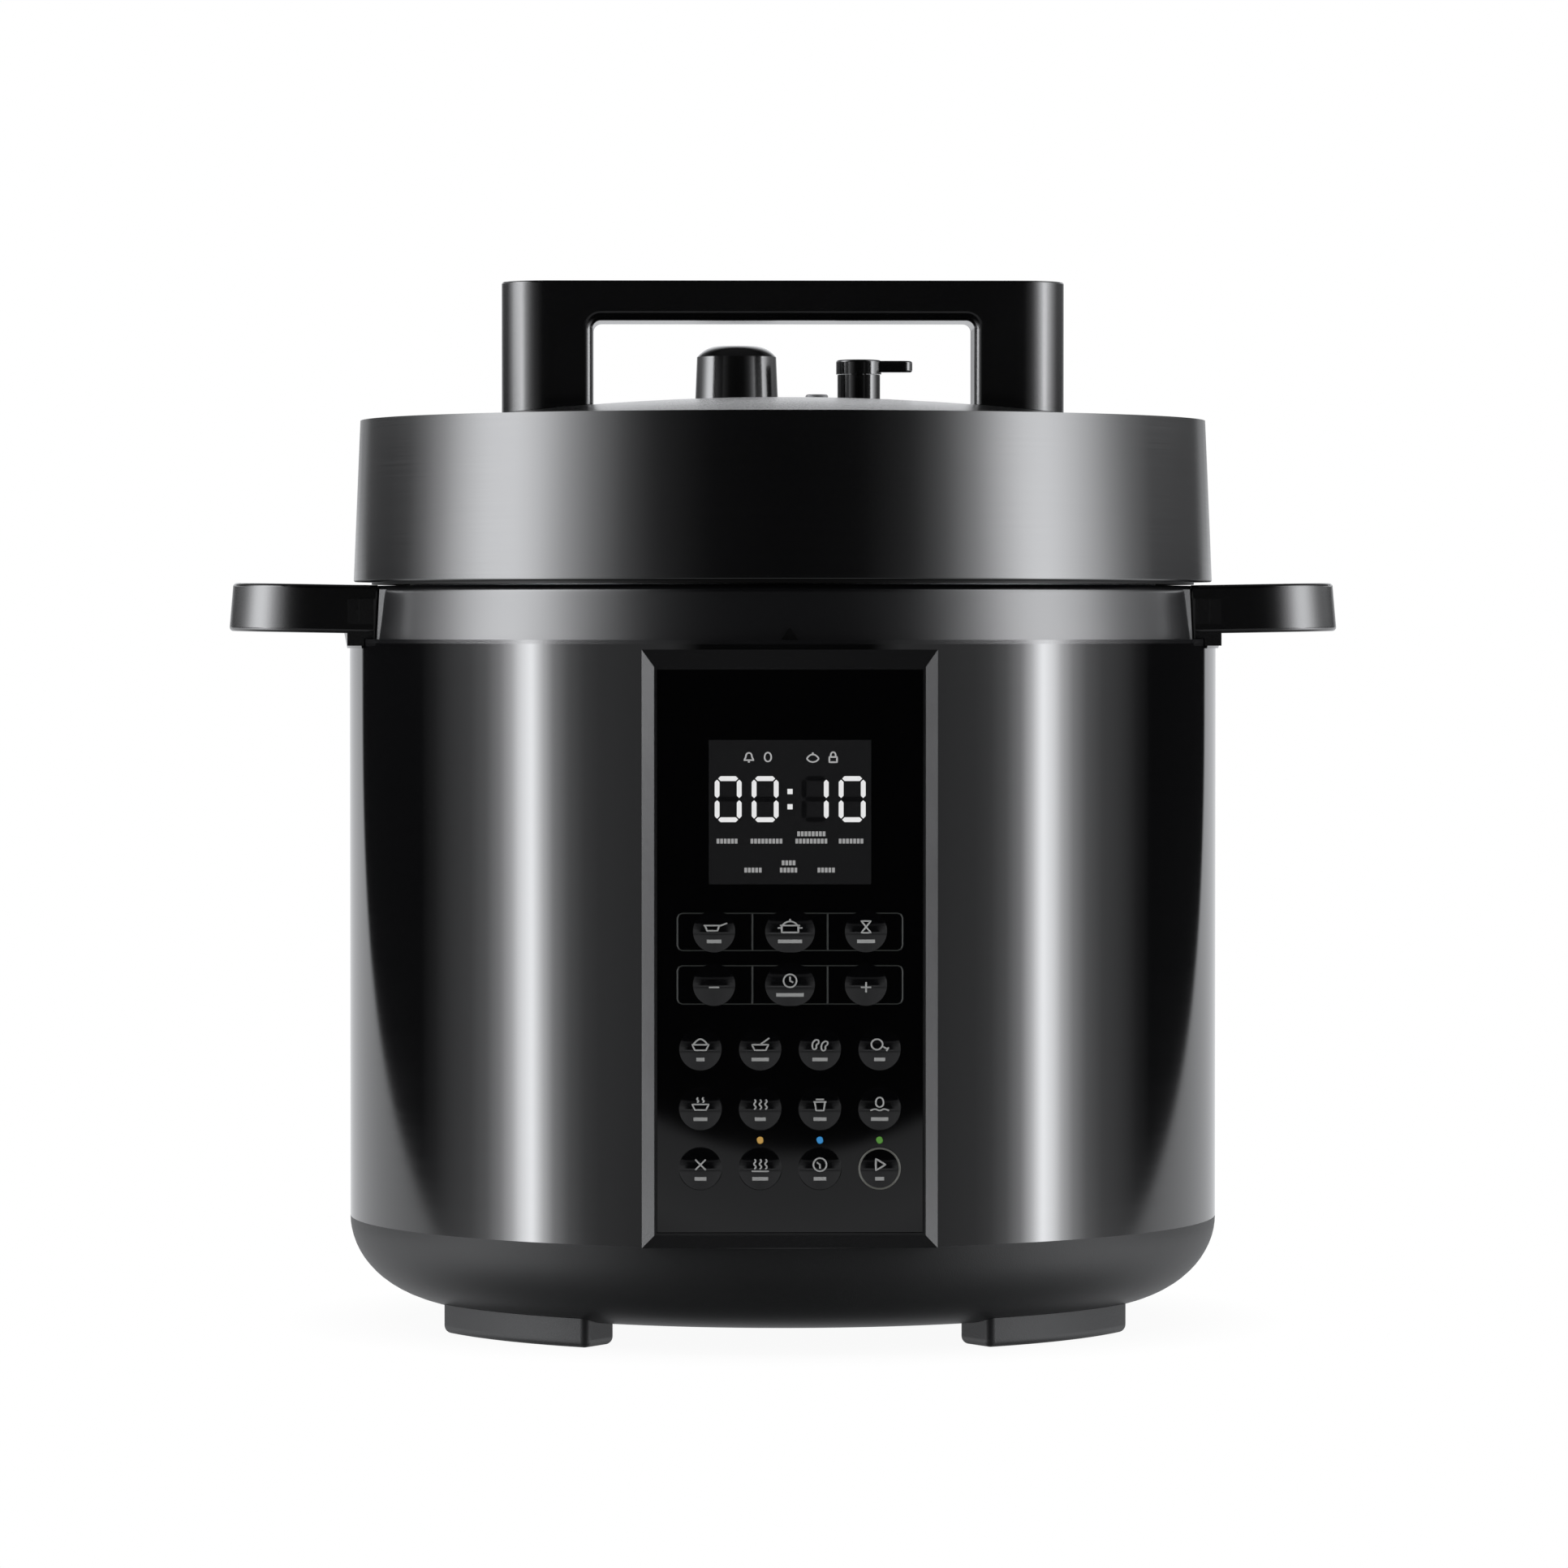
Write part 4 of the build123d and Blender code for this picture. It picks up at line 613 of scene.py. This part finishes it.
key_signs = {
    "key_saute": (
        [
            ([(-3.0, 0.5), (1.9, 0.5)], False, False),
            ([(-2.6, 0.5), (-2.0, -1.0), (1.0, -1.0), (1.5, 0.5)], False, False),
            ([(1.9, 0.5), (3.8, 1.2)], False, False),
        ], 4.2,
    ),
    "key_pressure": (
        [
            ([(-2.4, 0.5), (-2.4, -1.5), (2.4, -1.5), (2.4, 0.5)], False, False),
            ([(-2.9, 0.5), (2.9, 0.5)], False, False),
            ([(-2.2, 0.6), (-1.2, 1.4), (0.0, 1.7), (1.2, 1.4), (2.2, 0.6)], True, False),
            ([(0.0, 1.8), (0.0, 2.4)], False, False),
            ([(-3.6, -0.2), (-2.5, -0.2)], False, False),
            ([(2.5, -0.2), (3.6, -0.2)], False, False),
        ], 7.0,
    ),
    "key_slow": ([([(-1.4, 1.8), (1.4, 1.8), (-1.4, -1.6), (1.4, -1.6)], False, True)], 5.2),
    "key_minus": ([([(-1.5, -1.9), (1.5, -1.9)], False, False)], 0.0),
    "key_time": ([dial, ([(0.0, 1.2), (0.0, 0.0), (0.9, -0.5)], False, False)], 8.0),
    "key_plus": (
        [([(-1.5, -1.9), (1.5, -1.9)], False, False), ([(0.0, -3.4), (0.0, -0.4)], False, False)], 0.0,
    ),
    "key_rice": ([bowl, ([(-2.0, 0.3), (-1.0, 1.4), (0.0, 1.8), (1.0, 1.4), (2.0, 0.3)], True, False)], 2.4),
    "key_porridge": ([bowl, ([(0.2, 0.4), (2.6, 2.1)], False, False)], 5.0),
    "key_bean": (beans, 4.4),
    "key_meat": (
        [
            ([(-2.4, 0.3), (-1.2, 1.7), (0.7, 0.9), (0.5, -0.6), (-1.2, -1.2)], True, True),
            ([(0.6, -0.2), (2.2, -1.1)], False, False),
            ([(1.9, -1.6), (2.3, -1.1), (2.6, -0.6)], True, False),
        ], 3.2,
    ),
    "key_soup": (
        [
            bowl,
            ([(-0.9, 0.7), (-0.6, 1.2), (-1.0, 1.7), (-0.7, 2.2)], True, False),
            ([(0.7, 0.7), (1.0, 1.2), (0.6, 1.7), (0.9, 2.2)], True, False),
        ], 4.0,
    ),
    "key_steam": (waves, 3.2),
    "key_yogurt": (
        [
            ([(-1.5, 0.9), (-1.1, -1.6), (1.1, -1.6), (1.5, 0.9)], False, False),
            ([(-1.9, 0.9), (1.9, 0.9)], False, False),
            ([(-1.2, 1.6), (1.2, 1.6)], False, False),
        ], 3.8,
    ),
    "key_bath": (
        [
            ([(0.0, 2.2), (1.1, 0.4), (0.0, -0.6), (-1.1, 0.4)], True, True),
            ([(-2.7, -1.6), (-1.3, -1.2), (0.0, -1.6), (1.3, -1.2), (2.7, -1.6)], True, False),
        ], 5.0,
    ),
    "key_cancel": (
        [([(-1.5, 1.5), (1.5, -1.5)], False, False), ([(-1.5, -1.5), (1.5, 1.5)], False, False)], 3.4,
    ),
    "key_warm": (waves + [([(-2.5, -1.9), (2.5, -1.9)], False, False)], 4.6),
    "key_delay": ([dial, ([(-0.9, 0.7), (0.0, 0.0), (0.0, -1.1)], False, False)], 3.6),
    "key_start": ([([(-1.1, 1.7), (1.7, 0.0), (-1.1, -1.7)], False, True)], 2.6),
}
wide_keys = ("key_pressure", "key_time")
wide_half, round_half, crown = 0.0072, 0.0061, 0.001
sign_rise, bar_drop, bar_rise, key_pen = 1.2, 2.9, 0.3, 0.00052


def cap_face(low, middle, half):
    """The Y of a domed cap's front at a place on it."""
    dome = (half ** 2 + crown ** 2) / (2 * crown)

    def face(x, z):
        off = (x - middle.x) ** 2 + (z - middle.z) ** 2
        return low.y + dome - math.sqrt(dome ** 2 - off)

    return face


for node, (strokes, bar_length) in key_signs.items():
    key_low, key_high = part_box(node)
    key_middle = (key_low + key_high) / 2
    across, up = key_middle.x * 1000, key_middle.z * 1000
    marks = moved(strokes, across, up + sign_rise)
    if bar_length:
        half = bar_length / 2
        bar_middle = up - bar_drop
        for line in (bar_middle - bar_rise, bar_middle, bar_middle + bar_rise):
            marks.append(([(across - half, line), (across + half, line)], False, False))
    lift = cap_face(key_low, key_middle, wide_half if node in wide_keys else round_half)
    sign_name = "sign_" + node.removeprefix("key_")
    drawn(sign_name, marks, key_pen, ink_depth, lift, print_white, node)


# Start ring: a fine raised ring on the rim of the start key, lacquered a warm grey.
# It is bonded to the cap and moves with it, so a thumb can find the key.
key_low, key_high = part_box("key_start")
ring_middle = (key_low + key_high) / 2
ring_radius, ring_section, ring_back = 0.00585, 0.0003, 0.0009
ring_sides, ring_steps, seam = 10, 72, 0.000001
shape = bmesh.new()
section = bmesh.ops.create_circle(shape, cap_ends=False, segments=ring_sides, radius=ring_section)
bmesh.ops.translate(shape, verts=section["verts"], vec=(ring_radius, 0.0, 0.0))
bmesh.ops.spin(
    shape, geom=shape.edges[:] + shape.verts[:], cent=(0, 0, 0), axis=(0, 1, 0),
    angle=math.tau, steps=ring_steps, use_merge=True,
)
bmesh.ops.remove_doubles(shape, verts=shape.verts, dist=seam)
bmesh.ops.recalc_face_normals(shape, faces=shape.faces)
bmesh.ops.translate(shape, verts=shape.verts, vec=(ring_middle.x, key_low.y + ring_back, ring_middle.z))
for face in shape.faces:
    face.smooth = True
ring_grey = moulded("ring_lacquer", (0.1, 0.1, 0.088), 0.4, 3000.0, 0.000005)
new_piece("start_ring", shape, ring_grey, "key_start")


# Mains inlet and cup bay at the back: two black insets in the shell, in the same satin plastic.
# The blades are polished brass, and the cup that catches condensed water is clear.
inlet_black = moulded("inlet_satin", black_satin, 0.42, 2200.0, 0.00003)
paint(inlet_black, "power_inlet", "cup_bay")
paint(bare_metal("blade_brass", (0.72, 0.55, 0.28), 0.25, 2500.0, 0.00001), "inlet_blades")
material, shader, place = surface("cup_clear", Transmission_Weight=0.8, IOR=1.5)
frost = place.noise(700.0, 3.0)
feed(
    shader,
    Base_Color=frost.blend((0.62, 0.65, 0.68, 1.0), (0.75, 0.78, 0.8, 1.0)),
    Roughness=0.14 + frost * 0.12,
)
paint(material, "condensation_cup")


# Inner pot: deep-drawn stainless steel, brushed round its axis inside and out.
# Etched fill lines stand on the back of its wall, one for each fifth of its depth and a shorter one
# half a step below each.
paint(bare_metal("pot_brushed", (0.5, 0.5, 0.51), 0.36, 2600.0, 0.00003, 0.92), "inner_pot")
pot_inside, fill_floor, fill_rise, fill_steps = 0.11, 68.8, 165.0, 5
long_half, short_half, fill_pen = 9.0, 4.0, 0.0009
strokes = []
for step in range(1, fill_steps):
    fill = fill_floor + fill_rise * step / fill_steps
    half_fill = fill - fill_rise / fill_steps / 2
    strokes.append(([(-long_half, fill), (long_half, fill)], False, False))
    strokes.append(([(-short_half, half_fill), (short_half, half_fill)], False, False))
etched = bare_metal("etched_line", (0.16, 0.16, 0.17), 0.6, 2000.0, 0.00001)
drawn(
    "fill_lines", strokes, fill_pen, ink_depth, lambda x, z: math.sqrt(pot_inside ** 2 - x ** 2),
    etched, "pot",
)


# Sealing ring and lid steel: milk-white silicone on a steel rack, under the steel pressure lid and its
# fittings. Silicone lets some light in, and dulls with use.
material, shader, place = surface("silicone_milk", Subsurface_Weight=0.35, Subsurface_Scale=0.004)
cloud = place.noise(120.0, 4.0)
feed(
    shader,
    Base_Color=cloud.blend((0.60, 0.59, 0.56, 1.0), (0.72, 0.71, 0.68, 1.0)),
    Roughness=0.42 + cloud * 0.1,
)
paint(material, "sealing_ring", "float_seal")
lid_steel = bare_metal("lid_steel", (0.6, 0.6, 0.61), 0.28, 2200.0, 0.00002, 0.92)
paint(lid_steel, "gasket_rack", "lid_plate", "vent_pipe", "block_shield")
paint(lid_steel, "lid_nuts", "handle_bolts", "float_guide")


# Lid cover: the deep black skirt of the lid, moulded and brushed round to a satin metal look.
# Its light is broad and soft, with fine lines running round it. The lip at its foot is dulled and darkened
# as painted shade.
material, shader, place = surface("lid_satin", Specular_IOR_Level=1.0, IOR=1.5)
lines = turned(place, 1600.0)
drift = place.noise(20.0, 3.0)
lip_rise = 0.0016
lip_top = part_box("top_collar")[1].z + lip_rise
# Below lip_top the lid is made rougher and darker: painted shade for the narrow gap between lid and collar.
shaded_lip = place.parts()[2] < lip_top
feed(
    shader,
    Base_Color=drift.blend((0.0005, 0.0005, 0.0006, 1.0), (0.0009, 0.0009, 0.0011, 1.0)),
    Roughness=0.12 + lines * 0.05 + drift * 0.03 + shaded_lip * 0.22,
    Metallic=shaded_lip * 0.7,
    Normal=lines.bump(0.000006),
)
paint(material, "lid_cover")


# Lid dome: a shallow pressed cap let into the cover, coated in a fine black texture.
# At a low angle its texture scatters enough light to look grey.
dome_black = (0.004, 0.004, 0.0044)
paint(moulded("dome_texture", dome_black, 0.27, 2600.0, 0.00002, Specular_IOR_Level=1.0), "lid_dome")


# Lid handle: one black bow bolted through the lid, smooth on the bar and round at its ends.
# It is the same hard satin plastic as the side grips, a touch glossier.
bow_black = moulded("bow_satin", black_satin, 0.18, 2600.0, 0.00001, Specular_IOR_Level=1.0)
paint(bow_black, "lid_handle")


# Valve, lever and float on top: a weighted cap, a turning release lever on its post, and a pin.
# Cap and lever are polished black plastic, and the pin is blasted aluminium.
valve_black = (0.0016, 0.0016, 0.0018)
valve_gloss = moulded("valve_gloss", valve_black, 0.17, 2400.0, 0.000005, Specular_IOR_Level=1.0)
paint(valve_gloss, "valve_cap", "release_lever", "lever_post")
paint(moulded("pin_blasted", (0.6, 0.6, 0.61), 0.5, 2600.0, 0.00002, Metallic=0.2), "float_pin")


# Studio floor: a white table just below the feet, which keeps a soft shadow under them.
# It is hidden from reflections, where the studio's own light stands in for it.
floor_radius, floor_sides, floor_gap = 4.0, 96, 0.0001
shape = bmesh.new()
bmesh.ops.create_circle(shape, cap_ends=True, segments=floor_sides, radius=floor_radius)
bmesh.ops.translate(shape, verts=shape.verts, vec=(0.0, 0.0, -floor_gap))
mesh = bpy.data.meshes.new("floor")
shape.to_mesh(mesh)
shape.free()
floor = bpy.data.objects.new("floor", mesh)
bpy.context.scene.collection.objects.link(floor)
floor.visible_glossy = False
floor.visible_shadow = False
shadow_reach, shadow_fade, shadow_share = 0.115, 0.04, 0.94
white = bpy.data.materials.new("floor_white")
white.use_nodes = True
tree = white.node_tree
tree.nodes.clear()
ground = Shade(tree)
seen = ground.node("LightPath", output="Is Camera Ray")
across, along, _ = ground.node("TexCoord", output="Object").parts()
reach = (across * across + along * along) ** 0.5
far = reach.eased(shadow_reach, shadow_reach + shadow_fade)
matt = ground.node("BsdfDiffuse", inputs={"Color": (0.85, 0.85, 0.85, 1.0)})
glow = ground.node("Emission", inputs={"Color": (1.0, 1.0, 1.0, 1.0), "Strength": 1.0})
glow_share = seen * (shadow_share + (1 - shadow_share) * far)
both = ground.node("MixShader", inputs={0: glow_share, 1: matt, 2: glow})
output = tree.nodes.new("ShaderNodeOutputMaterial")
tree.links.new(both.socket, output.inputs["Surface"])
mesh.materials.append(white)


# Studio above the level: a broad soft light on each side, which lid and collar mirror, and a lit wall
# behind with its foot in shade. A flag in front and one at the right dim the upper part of the lights, weak
# fills stand between them, and the ceiling is dim. Azimuth is in degrees from the front, to the right.
world = bpy.data.worlds.new("studio")
bpy.context.scene.world = world
world.use_nodes = True
tree = world.node_tree
studio = Shade(tree)
degree = 180 / math.pi
x, y, z = studio.node("TexCoord", output="Generated").parts()
azimuth = x.maths("ARCTAN2", x, 0.0 - y) * degree
aside = abs(azimuth)
elevation = z.maths("ARCSINE", z) * degree


def graded(angle, levels):
    """Brightness along an angle, from pairs of degrees and level."""
    first, last = levels[0][0], levels[-1][0]
    most = max(level for _, level in levels)
    stops = [((degrees - first) / (last - first), level / most) for degrees, level in levels]
    return angle.node("ValToRGB", {"stops": stops}, {0: (angle - first) / (last - first)}) * most


soft_lights = graded(azimuth, [
    (-180, 1.5), (-166, 1.35), (-152, 0.16), (-132, 0.12), (-121, 0.2), (-113, 0.75), (-105, 2.05),
    (-96, 4.5), (-87, 6.7), (-77, 7.1), (-69, 5.5), (-61, 3.25), (-53, 1.7), (-44, 0.6), (-35, 0.18),
    (-20, 0.02), (0, 0.008), (20, 0.02), (34, 0.2), (43, 0.85), (52, 2.6), (59, 5.2), (66, 7.2),
    (73, 7.4), (80, 6.1), (88, 4.2), (97, 2.2), (106, 0.95), (116, 0.27), (150, 0.14), (166, 1.35),
    (180, 1.5),
])
flag_foot = elevation.eased(6.0, 7.5)
front_flag = flag_foot * aside.eased(45.0, 35.0)
right_flag = flag_foot * graded(azimuth, [
    (-180, 0.0), (35, 0.0), (45, 0.38), (60, 0.38), (72, 0.28), (80, 0.1), (86, 0.0), (180, 0.0),
])
lights_top = elevation.eased(50.0, 30.0)
above = soft_lights * lights_top * (1 - front_flag) * (1 - right_flag)
ceiling_level = 0.06
above = above + ceiling_level * elevation.eased(45.0, 65.0)
front_fill = graded(aside, [(0, 0.07), (20, 0.07), (30, 0.11), (36, 0.2), (45, 0.0), (180, 0.0)])
above = above + front_fill * graded(elevation, [(6.5, 0.0), (8, 1.0), (10, 1.0), (11, 0.0), (90, 0.0)])
side_fill = graded(aside, [
    (0, 0.0), (102, 0.0), (109, 0.4), (116, 0.8), (125, 1.0), (152, 1.0), (164, 0.0), (180, 0.0),
])
above = above + side_fill * graded(elevation, [(4, 0.0), (5.5, 1.0), (9, 1.0), (12, 0.0), (90, 0.0)])
wall_foot = aside.eased(150.0, 162.0) * elevation.eased(5.5, 3.0)
wall_shade = 0.65
above = above * (1 - wall_foot * wall_shade)


# Studio below the level: a narrow strip of light on each side, which the body mirrors, and the far part
# of the table, which comes further round the lower one looks. Nearer by, the table is dim in front,
# brighter at the sides, and darker straight below.
drop = 0.0 - elevation
strip_shift = 0.5
strips = graded(abs(azimuth - strip_shift), [
    (0, 0.01), (12, 0.012), (24, 0.24), (41, 0.27), (50, 0.31), (54.5, 0.42), (59.3, 0.8), (63.8, 1.9),
    (67, 4.6), (70.6, 9.8), (74.1, 7.2), (77, 3.9), (80.8, 1.9), (85.5, 0.85), (91.5, 0.45), (99, 0.28),
    (106, 0.09), (112, 0.012), (180, 0.006),
])
far_start, far_spread, far_power, far_slope, far_level = 150.0, 1.25, 2.5, 0.6, 0.85
bend_start = 0.5
fall = drop.maths("MAXIMUM", drop - bend_start, 0.0)
far_edge = far_start - far_spread * fall ** far_power
far_table = ((aside - far_edge) * far_slope + 0.5).held()
below = strips.faded(far_level, far_table)
front_table = graded(drop, [
    (0, 0.012), (4.1, 0.012), (4.14, 0.46), (4.4, 0.47), (4.55, 0.5), (4.75, 0.56), (5.1, 0.45),
    (5.6, 0.12), (20, 0.12),
])
below = below.faded(front_table, aside.eased(30.0, 22.0))
table = graded(aside, [
    (0, 0.47), (40, 0.6), (58, 1.8), (72, 4.1), (85, 4.5), (100, 2.9), (120, 1.5), (150, 0.85), (180, 0.85),
])
front_fall = graded(drop, [(0, 0.25), (7, 0.25), (10, 0.5), (36, 0.5), (50, 0.35), (70, 0.1), (90, 0.06)])
side_fall = graded(drop, [(0, 1.0), (8, 1.0), (16, 0.95), (31, 0.95), (42, 0.28), (60, 0.08), (90, 0.05)])
table = table * side_fall.faded(front_fall, aside.eased(55.0, 40.0))
below = below.faded(table, drop.eased(5.0, 7.0))


# World: pure white to the camera. All other rays see the studio, in a very slightly cool white.
# The upper half of the studio takes over from the lower one just above the level.
studio_level = below.faded(above, elevation.eased(0.6, 1.6))
camera_ray = studio.node("LightPath", output="Is Camera Ray")
strength = studio_level.faded(1.0, camera_ray)
cool_white, pure_white = (0.988, 1.0, 1.025, 1.0), (1.0, 1.0, 1.0, 1.0)
tint = camera_ray.blend(cool_white, pure_white)
background = tree.nodes["Background"]
tree.links.new(tint.socket, background.inputs["Color"])
tree.links.new(strength.socket, background.inputs["Strength"])


# Camera: a long lens level with the collar, a little to the left of the panel's middle.
# The picture is 1932 pixels wide, and the pot's axis stands a little left of its middle.
picture_width = 1932
axis_shift = 1.5
lens = bpy.data.cameras.new("camera")
lens.sensor_width = 36.0
lens.lens = 171.23
pixel = lens.sensor_width / lens.lens / picture_width
camera = bpy.data.objects.new("camera", lens)
camera_left, camera_back, camera_height, tilt = 0.035, 2.295, 0.215, 1.26
camera.location = (-camera_left, -camera_back, camera_height)
turn = -math.atan2(camera_left, camera_back) - axis_shift * pixel
camera.rotation_euler = (math.radians(90.0 - tilt), 0.0, turn)
bpy.context.scene.collection.objects.link(camera)
bpy.context.scene.camera = camera
bpy.context.scene.view_settings.view_transform = "Standard"
